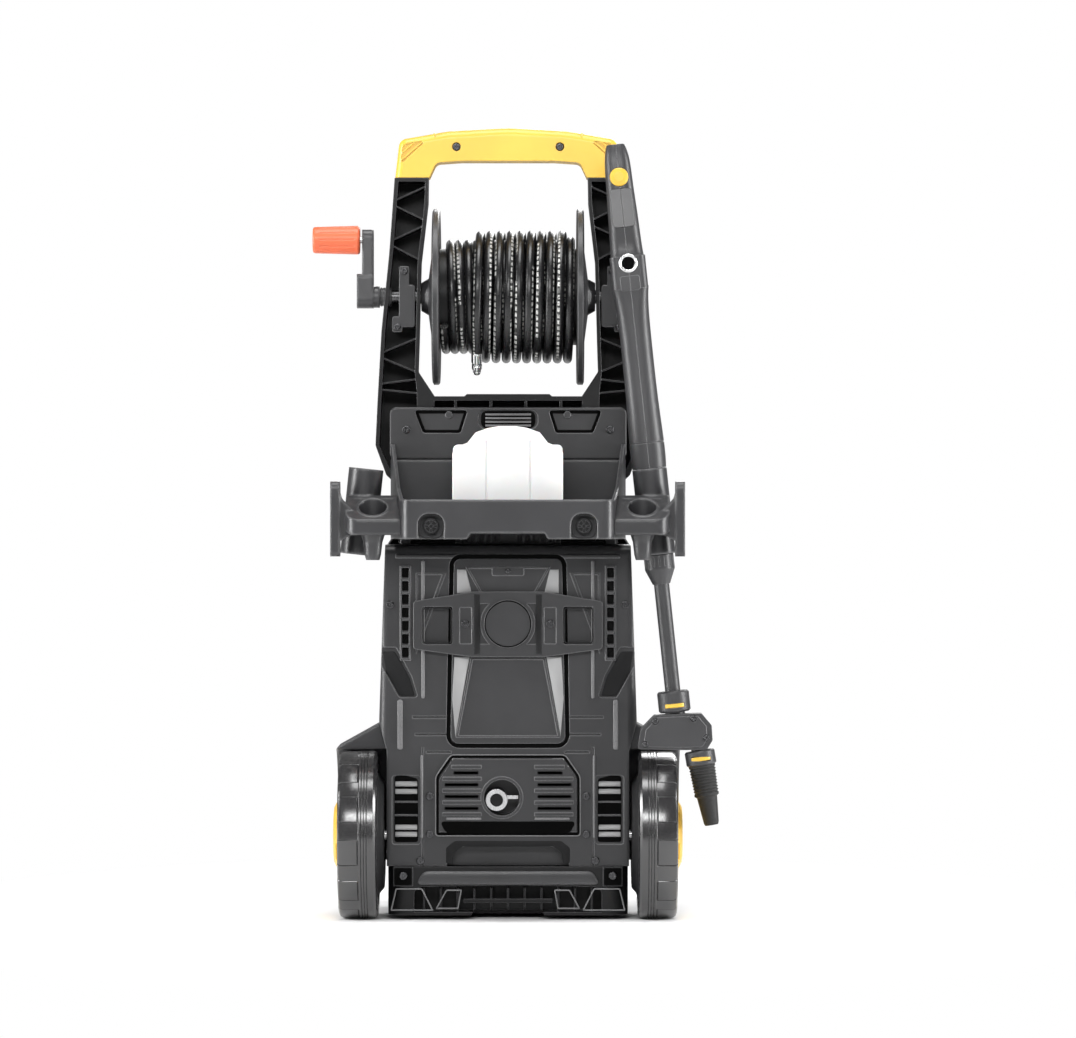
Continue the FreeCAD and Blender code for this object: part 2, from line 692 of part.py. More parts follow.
def rear_cover():
    """The rear cover with its middle panel, side channels, vents, nozzle ladders and lifting arch."""
    rear = CASE_REAR
    shell = rear_shell(0, rear, CASE_SPLIT - SEAM)
    shell = shell.cut(rear_shell(CASE_WALL, rear + REAR_WALL, CASE_SPLIT + 1))
    liner = prism(
        [(-GRIP_ARCH_HALF - 4, CASE_BOTTOM), (GRIP_ARCH_HALF + 4, CASE_BOTTOM),
         (GRIP_ARCH_HALF + 4, GRIP_ARCH_TOP - 4, 10), (0, GRIP_ARCH_TOP + 5),
         (-GRIP_ARCH_HALF - 4, GRIP_ARCH_TOP - 4, 10)],
        "XZ",
        rear + 1,
        rear + 17,
    ).cut(rod(AXLE_R + 3, vec(-150, WHEEL_Y, AXLE_Z), vec(150, WHEEL_Y, AXLE_Z)))
    adds = [liner]
    trapezoid = [(-42, 296), (42, 296), (59, 206), (-59, 206)]
    inner = [(-39.8, 294), (39.8, 294), (56.2, 208), (-56.2, 208)]
    adds.append(frame_line(trapezoid, inner, rear, 1.0))
    high = CASE_TOP - 25
    low = CASE_TOP - 57
    upper = [(-48, high), (48, high), (30, low), (-30, low)]
    inner = [(-44.6, high - 2), (44.6, high - 2), (28.8, low + 2), (-28.8, low + 2)]
    adds.append(frame_line(upper, inner, rear, 1.0))
    adds.append(prism(rect(-18, 18, PLATE_Z - 5, PLATE_Z + 4, 2), "XZ", rear - 1.5, rear + 0.5))
    lip_z = CASE_TOP - 15
    lip_top = lip_z + 4.5
    lip = prism([(rear + 2, lip_z), (rear - 2, lip_z, 0.8), (rear - 2, lip_top, 2), (rear + 2, lip_top)],
                "YZ", -CASE_TOP_HALF + CASE_ROUND, CASE_TOP_HALF - CASE_ROUND)
    adds.append(lip)
    right = []
    step = (LADDER_Z1 - LADDER_Z0) / LADDER_RUNGS
    for x in (LADDER_X - 6, LADDER_X + 4):
        right.append(box(x, x + 2, rear - 2.5, rear + 0.5, LADDER_Z0, LADDER_Z1))
    for i in range(LADDER_RUNGS + 1):
        z = LADDER_Z0 + i * step
        right.append(box(LADDER_X - 6, LADDER_X + 6, rear - 2.5, rear + 0.5, z - 1, z + 1))
    tip = CASE_TOP - 32
    triangle = [(70, tip), (104, tip), (104, tip - 92)]
    right.append(frame_line(triangle, [(74.5, tip - 2), (102, tip - 2), (102, tip - 77)], rear, 1.0))
    for shape in right:
        adds.extend(pair(shape))
    shell = joined(shell, *adds)
    cuts = [frame_line(panel_outline(GROOVE_W), panel_outline(0), rear + GROOVE_DEPTH, GROOVE_DEPTH + 4)]
    arch = prism(
        [(-GRIP_ARCH_HALF, CASE_BOTTOM - 1), (GRIP_ARCH_HALF, CASE_BOTTOM - 1),
         (GRIP_ARCH_HALF, GRIP_ARCH_TOP - 8, 10), (0, GRIP_ARCH_TOP),
         (-GRIP_ARCH_HALF, GRIP_ARCH_TOP - 8, 10)],
        "XZ",
        rear - 1,
        rear + 14,
    )
    cuts.append(arch)
    grown = [(u + math.copysign(FIT, u), v + (FIT if v > 120 else -FIT)) for u, v in INLET_PANEL]
    cuts.append(prism(grown, "XZ", rear - 1, rear + REAR_WALL + 1))
    half = [
        prism([(148, 308), (126.6, 308, 3), (109, 275, 8), (101.7, 251, 3), (123, 251, 3), (148, 296)],
              "XZ", rear - 1, rear + REAR_WALL - 1),
        prism(rect(70, 108, 227.5, 230), "XZ", rear - 1, rear + 2.5),
        prism(rect(69, 105, 208, 210.5), "XZ", rear - 1, rear + 2.5),
        prism(rect(64, 92.5, 188, 190.5), "XZ", rear - 1, rear + 2.5),
        prism(rect(95.5, 97.3, CASE_BOTTOM - 1, 195), "XZ", rear - 1, rear + 1.5),
        prism(rect(VENT_X0 - 3, VENT_X1 + 3, VENT_Z0 - 3, VENT_Z1 + 3, 3), "XZ", rear - 1, rear + 1.5),
    ]
    pitch = (VENT_Z1 - VENT_Z0) / VENT_SLOTS
    for i in range(VENT_SLOTS):
        z = VENT_Z0 + (i + 0.5) * pitch
        low, high = z - pitch * VENT_SHARE / 2, z + pitch * VENT_SHARE / 2
        half.append(box(VENT_X0, VENT_X1, rear - 1, rear + REAR_WALL + 1, low, high))
    for shape in half:
        cuts.extend(pair(shape))
    for x, z in CASE_SCREWS:
        for side in (-1, 1):
            cuts.append(screw_hole(vec(side * x, rear, z), Y_AXIS))
    cuts.append(screw_hole(vec(0, rear - 1.5, PLATE_Z), Y_AXIS))
    for side in (-1, 1):
        cuts.append(screw_hole(vec(side * BRACKET_SCREW_X, rear, BRACKET_Z), Y_AXIS))
    cuts.append(rod(AXLE_R + 3, vec(-160, WHEEL_Y, AXLE_Z), vec(160, WHEEL_Y, AXLE_Z)))
    return shell.cut(Part.makeCompound(cuts))


def bracket_screw_y():
    """Where the heads of the bracket's screws rest."""
    return CASE_REAR - BRACKET_GAP - BRACKET_T + 1.5


def accessory_bracket():
    """A bow-tie bracket with two windows and a round middle disc, on two short pillars."""
    back = CASE_REAR - BRACKET_GAP
    front = back - BRACKET_T
    low = BRACKET_Z - 37.5
    high = BRACKET_Z + 36.5
    plate = prism(
        [(-107, high - 11, 4), (-40, high, 20), (40, high, 20), (107, high - 11, 4), (107, low + 9, 4),
         (40, low, 20), (-40, low, 20), (-107, low + 9, 4)],
        "XZ",
        front,
        back,
    )
    disc = turned([(0, 0), (0, DISC_R), (4, DISC_R, 2), (4, 0)], vec(0, front + 1, BRACKET_Z), Y_AXIS * -1)
    foot = vec(BRACKET_SCREW_X, CASE_REAR, BRACKET_Z)
    pillar = pipe(6, SCREW_R + RUN, foot - Y_AXIS * (BRACKET_GAP + 1), foot)
    window = prism(rect(62.6, 97, low + 14.5, high - 17, 3), "XZ", front - 1, back + 1)
    slot = prism(rect(41, 54.5, low + 15, high - 18, 1), "XZ", front - 1, bracket_screw_y())
    ring = pipe(39, 31, vec(0, front - 1, BRACKET_Z), vec(0, front + 2.5, BRACKET_Z))
    bow = ring.common(box(20, 60, front - 2, back, BRACKET_Z - 23, BRACKET_Z + 23))
    hole = screw_hole(vec(BRACKET_SCREW_X, bracket_screw_y(), BRACKET_Z), Y_AXIS)
    body = joined(plate, disc, *pair(pillar))
    cuts = []
    for shape in (window, slot, bow, hole):
        cuts.extend(pair(shape))
    return body.cut(Part.makeCompound(cuts))


def inlet_panel():
    """The ribbed panel round the deep well of the water inlet."""
    back = CASE_REAR + REAR_WALL
    front = CASE_REAR - 1.5
    plate = prism(INLET_PANEL, "XZ", front, back)
    well_axis = vec(WELL_X, 0, WELL_Z)
    well_end = back + 26
    tube = rod(WELL_R + 2.5, well_axis + Y_AXIS * (back - 1), well_axis + Y_AXIS * well_end)
    collar = rod(WELL_R + 3.5, well_axis + Y_AXIS * (front - 1.5), well_axis + Y_AXIS * back)
    ribs = []
    for i in range(5):
        z = 119 + i * 13.4
        for side in (-1, 1):
            low, high = sorted((side * 30, side * (74 if z < 160 else 64)))
            ribs.append(box(low, high, front - 1.2, front + 1, z - 2, z + 2))
    body = joined(plate, tube, collar, *ribs)
    bore = rod(WELL_R, well_axis + Y_AXIS * (front - 3), well_axis + Y_AXIS * (well_end - 2.5))
    through = rod(WATER_R + FIT, vec(WATER_X, back, WATER_Z), vec(WATER_X, well_end + 1, WATER_Z))
    lip = prism(rect(-70, 70, 101, 109, 2), "XZ", front - 1, front + 3)
    return body.cut(Part.makeCompound([bore, through, lip]))


def front_cover():
    """The front cover, which rises behind the handle frame to the crossbar."""

    def solid(inset):
        front = CASE_FRONT - inset
        plan = prism(
            [(-CASE_MID_HALF + inset, CASE_SPLIT), (CASE_MID_HALF - inset, CASE_SPLIT),
             (CASE_MID_HALF - inset, front, 40), (-CASE_MID_HALF + inset, front, 40)],
            "XY", CASE_BOTTOM, NECK_TOP)
        side = prism(
            [(CASE_SPLIT, CASE_BOTTOM), (front, CASE_BOTTOM), (front, CASE_TOP - 64, 30),
             (front - 25, CASE_TOP + 16, 30), (NECK_FRONT - inset + 30, NECK_TOP - 22, 20),
             (NECK_FRONT - inset, NECK_TOP - inset, 12),
             (CASE_SPLIT, NECK_TOP - inset)],
            "YZ", -CASE_MID_HALF, CASE_MID_HALF)
        corners = case_outline(inset)
        neck = NECK_HALF - inset
        corners[4:6] = [
            (CASE_TOP_HALF - inset, CASE_TOP),
            (neck, CASE_TOP + 20),
            (neck, NECK_TOP - inset),
            (-neck, NECK_TOP - inset),
            (-neck, CASE_TOP + 20),
            (-CASE_TOP_HALF + inset, CASE_TOP),
        ]
        return plan.common(side).common(prism(corners, "XZ", CASE_SPLIT, front))

    shell = solid(0)
    hollow = solid(CASE_WALL)
    hollow.translate(Y_AXIS * -0.01)
    shell = shell.cut(hollow)
    cuts = []
    for i in range(9):
        z = 110 + i * 12
        cuts.append(box(-70, 70, CASE_FRONT - CASE_WALL - 1, CASE_FRONT + 1, z, z + 5))
    cuts.append(rod(SWITCH_R + 0.6, vec(0, CASE_FRONT - 8, SWITCH_Z), vec(0, CASE_FRONT + 1, SWITCH_Z)))
    gland = vec(GLAND_X, CASE_FRONT, GLAND_Z)
    cuts.append(rod(GLAND_R + 0.1, gland - Y_AXIS * 8, gland + Y_AXIS))
    shell = shell.cut(Part.makeCompound(cuts))
    carrier = rod(SWITCH_R + 6, vec(0, CASE_FRONT - 10, SWITCH_Z), vec(0, CASE_FRONT - CASE_WALL, SWITCH_Z))
    seat = rod(SWITCH_R + 0.6, vec(0, CASE_FRONT - 7, SWITCH_Z), vec(0, CASE_FRONT + 1, SWITCH_Z))
    spindle = rod(4 + RUN, vec(0, CASE_FRONT - 12, SWITCH_Z), vec(0, CASE_FRONT, SWITCH_Z))
    return joined(shell, carrier).cut(seat).cut(spindle)


def switch_knob():
    """The rotary on and off knob with its spindle."""
    face = CASE_FRONT - 7 + FIT
    start = vec(0, face, SWITCH_Z)
    knob = turned([(0, 0), (0, SWITCH_R), (12, SWITCH_R - 2, 2), (12, 0)], start, Y_AXIS)
    bar = prism(rect(-6, 6, SWITCH_Z - 21, SWITCH_Z + 21, 5), "XZ", face + 11, face + 22)
    spindle = rod(4, vec(0, face - 5, SWITCH_Z), vec(0, face + 1, SWITCH_Z))
    return joined(knob, bar, spindle)


def cable_gland():
    """The gland that the mains cable would enter by."""
    start = vec(GLAND_X, CASE_FRONT - 8, GLAND_Z)
    bore = GLAND_BORE_R
    profile = [(0, bore), (0, GLAND_R), (8, GLAND_R), (8, GLAND_R + 3, 1), (14, GLAND_R + 2, 1),
               (20, 6.5), (20, bore)]
    return turned(profile, start, Y_AXIS)


def fender():
    """A hollow fairing that arches over the front of a wheel."""

    def solid(inset):
        inner_x = CASE_LOW_HALF + SEAM
        ahead = prism(
            [(inner_x, CASE_BOTTOM + inset), (FENDER_OUT - inset, CASE_BOTTOM + inset),
             (FENDER_OUT - inset, FENDER_TOP - inset, 4), (CASE_MID_HALF + SEAM, CASE_MID_Z - 4 - inset),
             (CASE_MID_HALF + SEAM, CASE_MID_Z - 1 - inset), (inner_x, CASE_LOW_Z - inset)],
            "XZ", FENDER_REAR - 1, 120)
        side = prism(
            [(FENDER_REAR + inset, CASE_BOTTOM + inset), (FENDER_REAR + inset, 240), (20, 240),
             (70 - inset, 170, 30), (104 - inset, CASE_BOTTOM + inset, 8)],
            "YZ", inner_x, FENDER_OUT)
        reach = WHEEL_R + FENDER_GAP + inset
        arch = rod(reach, vec(inner_x - 5, WHEEL_Y, AXLE_Z), vec(FENDER_OUT + 5, WHEEL_Y, AXLE_Z))
        return ahead.common(side).cut(arch)

    body = solid(0)
    hollow = solid(3.0).common(box(CASE_LOW_HALF, FENDER_OUT, -100, 140, 0, 186))
    case = prism(case_outline(-SEAM), "XZ", -100, 160)
    return body.cut(hollow).cut(case)


# Handle frame, upper cover and grip

def post_x(z):
    """The outer edge of a post at a height."""
    path = POST_PATH_OUT[3:]
    for low, high in zip(path, path[1:]):
        if low[1] <= z <= high[1]:
            return low[0] + (high[0] - low[0]) * (z - low[1]) / (high[1] - low[1])
    return path[-1][0]


def inner_x(z):
    """The inner edge of a post at a height."""
    path = POST_PATH_IN[:6]
    for high, low in zip(path, path[1:]):
        if low[1] <= z <= high[1]:
            return low[0] + (high[0] - low[0]) * (z - low[1]) / (high[1] - low[1])
    return path[-1][0]


def post():
    """The right post: a channel open to the rear, stiffened by ribs in V shapes."""
    solid = prism(POST_PATH_OUT + POST_PATH_IN, "XZ", POST_REAR, POST_FRONT)
    outer = [(p[0] - POST_OUTER_WALL, p[1]) for p in POST_PATH_OUT[2:]]
    outer[0] = (134, CASE_TOP + 84)
    outer[-1] = (outer[-1][0], POST_TOP - 4)
    inner = [(p[0] + POST_INNER_WALL, p[1]) for p in POST_PATH_IN[:5]]
    inner[0] = (inner[0][0], POST_TOP - 4)
    inner.append((104, CROSSBAR_TOP + 2))
    inner.append((104, CASE_TOP + 84))
    solid = solid.cut(prism(outer + inner, "XZ", POST_REAR - 1, POST_FRONT - POST_WEB))
    foot = prism(rect(104, 121, CASE_TOP + 5, CASE_TOP + 62), "XZ", POST_REAR - 1, POST_FRONT - POST_WEB)
    solid = solid.cut(foot)
    ribs = []
    for apex in RIB_APEXES:
        for way in (-1, 1):
            z_out = apex + way * 3.4
            z_in = apex + way * (19 if apex > RIB_APEXES[-1] else 9)
            x_out = post_x(z_out) - POST_OUTER_WALL + 1
            x_in = inner_x(z_in) + POST_INNER_WALL - 1
            rib = prism([(x_out, z_out - 1), (x_out, z_out + 1), (x_in, z_in + 1), (x_in, z_in - 1)],
                        "XZ", POST_REAR + 3, POST_FRONT - 1)
            ribs.append(rib)
    boss_x, boss_z = COVER_SCREW
    ribs.append(rod(5.5, vec(boss_x, POST_REAR, boss_z), vec(boss_x, POST_FRONT - 1, boss_z)))
    tongue = box(GRIP_TONGUE[0], GRIP_TONGUE[1], POST_REAR + 8, POST_FRONT - 8, POST_TOP - 1, TONGUE_TOP)
    return joined(solid, tongue, *ribs)


def handle_frame():
    """Both posts, the crossbar under the reel and the web behind the upper cover."""
    bar = prism(
        [(-100, CROSSBAR_BOTTOM), (100, CROSSBAR_BOTTOM), (100, CROSSBAR_TOP),
         (CROSSBAR_RISE_HALF + 3, CROSSBAR_TOP), (CROSSBAR_RISE_HALF, CROSSBAR_TOP + CROSSBAR_RISE),
         (-CROSSBAR_RISE_HALF, CROSSBAR_TOP + CROSSBAR_RISE), (-CROSSBAR_RISE_HALF - 3, CROSSBAR_TOP),
         (-100, CROSSBAR_TOP)],
        "XZ", POST_REAR, POST_FRONT)
    hollow = box(-84, 84, POST_REAR - 1, POST_FRONT - POST_WEB, CROSSBAR_BOTTOM - 1, CROSSBAR_BOTTOM + 6)
    web = box(-101, 101, POST_FRONT - POST_WEB, POST_FRONT, CASE_TOP + SEAM, CROSSBAR_BOTTOM + 1)
    sole = box(-101, 101, POST_REAR, POST_FRONT, CASE_TOP + SEAM, CASE_TOP + SEAM + 4)
    ribs = []
    for x in (-60, -20, 20, 60):
        ribs.append(box(x - 1.5, x + 1.5, POST_REAR + 2, POST_FRONT - 1, CASE_TOP + 1, CROSSBAR_BOTTOM + 8))
    frame = joined(*pair(post()), bar.cut(hollow), web, sole, *ribs)
    shaft = rod(REEL_SHAFT_R + 1, vec(-160, REEL_Y, REEL_Z), vec(160, REEL_Y, REEL_Z))
    cuts = [shaft]
    for side in (-1, 1):
        cuts.append(screw_hole(vec(side * COVER_SCREW[0], POST_REAR, COVER_SCREW[1]), Y_AXIS))
        for x, z in BLOCK_SCREWS:
            cuts.append(screw_hole(vec(side * x, BLOCK_REAR, z), Y_AXIS, POST_DEPTH))
    return frame.cut(Part.makeCompound(cuts))


def bearing_block():
    """The right bearing block, with a screw lug above and below."""
    block = prism(rect(BLOCK_IN, BLOCK_IN + BLOCK_W, REEL_Z - 35, REEL_Z + 13, 3), "XZ",
                  BLOCK_REAR, POST_FRONT - POST_WEB)
    lugs = []
    for (x, z), base in zip(BLOCK_SCREWS, (REEL_Z + 8, REEL_Z - 23)):
        low, high = sorted((base, z + math.copysign(LUG_HALF, z - REEL_Z)))
        ear = rect(x - LUG_HALF, x + LUG_HALF, low, high, 2)
        lugs.append(prism(ear, "XZ", BLOCK_REAR, BLOCK_REAR + LUG_T))
        lugs.append(rod(4.5, vec(x, BLOCK_REAR + 1, z), vec(x, POST_FRONT - POST_WEB, z)))
    body = joined(block, *lugs)
    cuts = [rod(REEL_SHAFT_R + RUN, vec(100, REEL_Y, REEL_Z), vec(140, REEL_Y, REEL_Z))]
    for x, z in BLOCK_SCREWS:
        cuts.append(screw_hole(vec(x, BLOCK_REAR, z), Y_AXIS))
    return body.cut(Part.makeCompound(cuts))


def upper_rear_cover():
    """The plate above the tank, with sunk side fields and a round-ended vent."""
    rear = POST_REAR - SEAM - COVER_T
    plate = prism(rect(-COVER_HALF, COVER_HALF, COVER_BOTTOM, COVER_TOP, 8), "XZ", rear, POST_REAR - SEAM)
    plate = rounded(plate, 2, at_level(1, rear))
    top = COVER_TOP - 3.5
    field = [(46, top, 3), (107, top, 3), (97, top - 26, 3), (54, top - 26, 3)]
    cuts = pair(prism(field, "XZ", rear - 1, rear + 2.5))
    cuts.append(prism(rect(-34, 34, top - 21.6, top + 0.5, 9), "XZ", rear - 1, rear + 1.5))
    for i in range(8):
        x = -24.5 + i * 7
        cuts.append(prism(rect(x - 1.6, x + 1.6, top - 19, top - 2, 1.5), "XZ", rear, rear + 6))
    for side in (-1, 1):
        cuts.append(screw_hole(vec(side * COVER_SCREW[0], rear, COVER_SCREW[1]), Y_AXIS, 14))
    boss = rod(4, vec(67.5, rear - 0.5, top - 5), vec(67.5, rear + 4, top - 5))
    return joined(plate.cut(Part.makeCompound(cuts)), *pair(boss))


def grip_solid(inset):
    """The whole grip, drawn inward by inset, open where the posts enter."""
    bottom = POST_TOP + SEAM - (1 if inset else 0)
    side = GRIP_HALF - inset
    low = GRIP_UNDER + inset
    shoulder = side - 5
    corners = [
        (-side, bottom), (-shoulder, GRIP_SHOULDER - inset, 10 - inset),
        (-GRIP_BEND_X, GRIP_BEND - inset, 60), (0, GRIP_TOP - inset, 200),
        (GRIP_BEND_X, GRIP_BEND - inset, 60),
        (shoulder, GRIP_SHOULDER - inset, 10 - inset), (side, bottom), (90 + inset, bottom),
        (82 + inset, low - 2, 8), (53, low, 30), (-53, low, 30), (-82 - inset, low - 2, 8),
        (-90 - inset, bottom),
    ]
    solid = prism(corners, "XZ", POST_REAR + inset, POST_FRONT - inset)
    if inset:
        return solid
    return rounded(solid, GRIP_ROUND, lambda edge: grip_rim(edge, bottom))


def grip_rim(edge, bottom):
    """Picks the grip's front and rear rims, apart from the ends that meet the posts."""
    bounds = edge.BoundBox
    flat = bounds.YMax - bounds.YMin < 0.01
    high_enough = bounds.ZMax > bottom + 5
    outer = bounds.ZMax > GRIP_UNDER + 12
    return flat and high_enough and outer


def handle_grip():
    """The grip's rear and front halves, hollow, parted on the plane of the posts' middle."""
    whole = grip_solid(0).cut(grip_solid(GRIP_WALL))
    pillars = []
    for x in (-GRIP_SCREW_X, GRIP_SCREW_X):
        pillars.append(rod(6, vec(x, POST_REAR + 1, GRIP_SCREW_Z), vec(x, POST_FRONT - 1, GRIP_SCREW_Z)))
    ribs = []
    for x in (-36, -12, 12, 36, 84, -84):
        ribs.append(box(x - 1, x + 1, POST_REAR + 1, POST_FRONT - 1, GRIP_UNDER + 1, GRIP_BEND - 2.5))
    whole = joined(whole, *pillars, *ribs)
    foot = POST_TOP + 15
    corner = [(123, foot, 2), (119.5, foot + 24, 3), (93, foot + 28, 2)]
    pockets = pair(prism(corner, "XZ", POST_REAR - 1, POST_REAR + 2))
    holes = [screw_hole(vec(x, POST_REAR + GRIP_SINK, GRIP_SCREW_Z), Y_AXIS, 30)
             for x in (-GRIP_SCREW_X, GRIP_SCREW_X)]
    sinks = []
    for x in (-GRIP_SCREW_X, GRIP_SCREW_X):
        seat = vec(x, POST_REAR + GRIP_SINK, GRIP_SCREW_Z)
        sinks.append(rod(SCREW_HEAD_R + 0.5, seat - Y_AXIS * (GRIP_SINK + 1), seat))
    whole = whole.cut(Part.makeCompound(pockets + holes + sinks))
    ribs = []
    for i in range(3):
        low = foot + 2.5 + i * 7.5
        high = 93 + i * 9
        rib = prism([(high, foot + 29), (high + 2, foot + 29), (124, low + 2.5), (124, low)],
                    "XZ", POST_REAR + 0.6, POST_REAR + 2.5)
        ribs.extend(pair(rib.common(prism(corner, "XZ", POST_REAR, POST_REAR + 3))))
    middle = (POST_REAR + POST_FRONT) / 2
    rear = joined(whole.common(box(-200, 200, POST_REAR - 5, middle - 0.1, 800, 950)), *ribs)
    front = whole.common(box(-200, 200, middle + 0.1, POST_FRONT + 5, 800, 950))
    return rear, front


# Hose reel and crank


def flange():
    """The right flange: a dished disc with a rim and a hub."""
    rim = FLANGE_RIM_T
    profile = [
        (0, REEL_SHAFT_R + 0.05), (0, FLANGE_R - 2), (1.5, FLANGE_R), (rim - 1.5, FLANGE_R),
        (rim, FLANGE_R - 3), (rim, FLANGE_R - 8), (3.5, FLANGE_R - 10), (4.5, FLANGE_R - 14),
        (FLANGE_DISH, REEL_HUB_R + 4),
        (REEL_HUB_END - FLANGE_FACE, REEL_HUB_R - 1, 1), (REEL_HUB_END - FLANGE_FACE, REEL_SHAFT_R + 0.05),
    ]
    return turned(profile, vec(FLANGE_FACE, REEL_Y, REEL_Z), X_AXIS)


def reel_drum():
    """The drum that the hose is wound on."""
    middle = vec(0, REEL_Y, REEL_Z)
    return pipe(DRUM_R, DRUM_R - DRUM_WALL, middle - X_AXIS * FLANGE_FACE, middle + X_AXIS * FLANGE_FACE)


def reel_shaft():
    """The reel's shaft, hollow at the right where the water enters."""
    end = BLOCK_IN + BLOCK_W + SHAFT_PAST_BLOCK
    bar = rod(REEL_SHAFT_R, vec(-CRANK_OUT + 3, REEL_Y, REEL_Z), vec(end, REEL_Y, REEL_Z))
    bore = rod(3.5, vec(60, REEL_Y, REEL_Z), vec(end + 1, REEL_Y, REEL_Z))
    return bar.cut(bore)


def reel_swivel():
    """The elbow that feeds water into the turning shaft, held in the right post."""
    face = BLOCK_IN + BLOCK_W
    middle = face + SWIVEL_L / 2 + 1
    body = rod(SWIVEL_R, vec(face + SEAM, REEL_Y, REEL_Z), vec(face + SWIVEL_L, REEL_Y, REEL_Z))
    stub = rod(3.8, vec(middle, REEL_Y, REEL_Z), vec(middle, REEL_Y, REEL_Z - 24))
    cut = rod(REEL_SHAFT_R + RUN, vec(face, REEL_Y, REEL_Z), vec(face + SHAFT_PAST_BLOCK + 1, REEL_Y, REEL_Z))
    bore = rod(2, vec(middle, REEL_Y, REEL_Z - 2), vec(middle, REEL_Y, REEL_Z - 25))
    return joined(body, stub).cut(cut).cut(bore)


def hose_winding():
    """The outer shape of the wound hose: one layer of turns at the left, two at the right."""
    end = FLANGE_FACE - FIT
    profile = [(-end, LAYER_IN), (end, LAYER_IN), (end, LAYER_TWO), (STEP_X, LAYER_TWO),
               (STEP_X, LAYER_ONE), (-end, LAYER_ONE)]
    return turned(profile, vec(0, REEL_Y, REEL_Z), X_AXIS)


def tail_point(along):
    """A point on the straight end of the hose, from where it leaves the turns."""
    angle = math.radians(TAIL_ANGLE)
    radius = LAYER_ONE + FIT + HOSE_R
    y = REEL_Y - radius * math.cos(angle) + along * math.sin(angle)
    z = REEL_Z - radius * math.sin(angle) - along * math.cos(angle)
    return vec(STEP_X - FERRULE_R - FIT, y, z)


def hose_tail():
    """The free end of the hose, which leaves the turns on a tangent."""
    return rod(HOSE_R, tail_point(0), tail_point(TAIL_LENGTH))


def hose_connector():
    """The ferrule and plug tip on the end of the hose."""
    profile = [(0, 0), (0, FERRULE_R, 0.8), (14, FERRULE_R, 0.8), (14, 4.2), (17, 4.2), (17, 5.8, 0.8),
               (23, 5.8, 0.8), (23, 3.6), (26, 3.6), (26, 4.6), (29, 4.2, 1.5), (31, 2), (31, 0)]
    start = tail_point(TAIL_LENGTH)
    return turned(profile, start, tail_point(TAIL_LENGTH + 1) - start)


def crank_arm():
    """The crank's hub and its tapered arm."""
    hub = rod(CRANK_HUB_R, vec(-CRANK_OUT, REEL_Y, REEL_Z), vec(-CRANK_IN, REEL_Y, REEL_Z))
    arm_out = -(CRANK_IN + 7 + CRANK_ARM_W)
    top = REEL_Z + CRANK_R
    arm = prism([(REEL_Y - 12, REEL_Z), (REEL_Y + 12, REEL_Z), (REEL_Y + 10, top + 12, 9),
                 (REEL_Y - 10, top + 12, 9)], "YZ", arm_out, -(CRANK_IN + 7))
    foot = prism([(REEL_Y - 13, REEL_Z - 13, 9), (REEL_Y + 13, REEL_Z - 13, 9),
                  (REEL_Y + 12, REEL_Z + 26, 4), (REEL_Y - 12, REEL_Z + 26, 4)],
                 "YZ", -CRANK_OUT, -(CRANK_IN + 7))
    body = joined(arm, foot, hub)
    bore = rod(REEL_SHAFT_R + 0.05, vec(-CRANK_OUT + 3, REEL_Y, REEL_Z), vec(-CRANK_IN + 1, REEL_Y, REEL_Z))
    pin = rod(CRANK_PIN_R + 0.05, vec(arm_out - 1, REEL_Y, top), vec(-(CRANK_IN + 6), REEL_Y, top))
    return body.cut(bore).cut(pin)


def crank_pin():
    """The steel pin that the crank's grip turns on, with a head at its outer end."""
    top = REEL_Z + CRANK_R
    arm_out = -(CRANK_IN + 7 + CRANK_ARM_W)
    end = arm_out - KNOB_LENGTH
    pin = rod(CRANK_PIN_R, vec(end + 1, REEL_Y, top), vec(-(CRANK_IN + 8), REEL_Y, top))
    head = rod(CRANK_PIN_R + 3, vec(end + 1, REEL_Y, top), vec(end + 4, REEL_Y, top))
    return joined(pin, head)


def crank_grip():
    """The tapered grip that spins on the crank's pin."""
    top = REEL_Z + CRANK_R
    start = vec(-(CRANK_IN + 7 + CRANK_ARM_W) - 2.5, REEL_Y, top)
    length = KNOB_LENGTH
    bore = CRANK_PIN_R + RUN
    sink = CRANK_PIN_R + 3.4
    profile = [(0, bore), (0, KNOB_R_IN, 3), (length, KNOB_R_OUT, 3), (length, sink), (length - 7.5, sink),
               (length - 7.5, bore)]
    knob = turned(profile, start, X_AXIS * -1)
    grooves = []
    for i in range(12):
        groove = rod(1.4, vec(-6, KNOB_R_IN + 0.6, 0), vec(-length + 8, KNOB_R_OUT + 0.9, 0))
        groove.rotate(vec(0, 0, 0), X_AXIS, i * 30)
        groove.translate(start)
        grooves.append(groove)
    return knob.cut(Part.makeCompound(grooves))


# Shelf: basket with two wings


def side_x(y, inset=0.0):
    """The outer half width of the basket at a depth."""
    share = (BASKET_BACK - y) / (BASKET_BACK - BASKET_FRONT)
    return BASKET_HALF_BACK + (BASKET_HALF_FRONT - BASKET_HALF_BACK) * share - inset


def basket_plan(inset, rear, front, corner):
    """The basket's outline from above, drawn inward by inset."""
    return [(-side_x(rear, inset), rear), (side_x(rear, inset), rear),
            (side_x(front, inset), front, corner), (-side_x(front, inset), front, corner)]


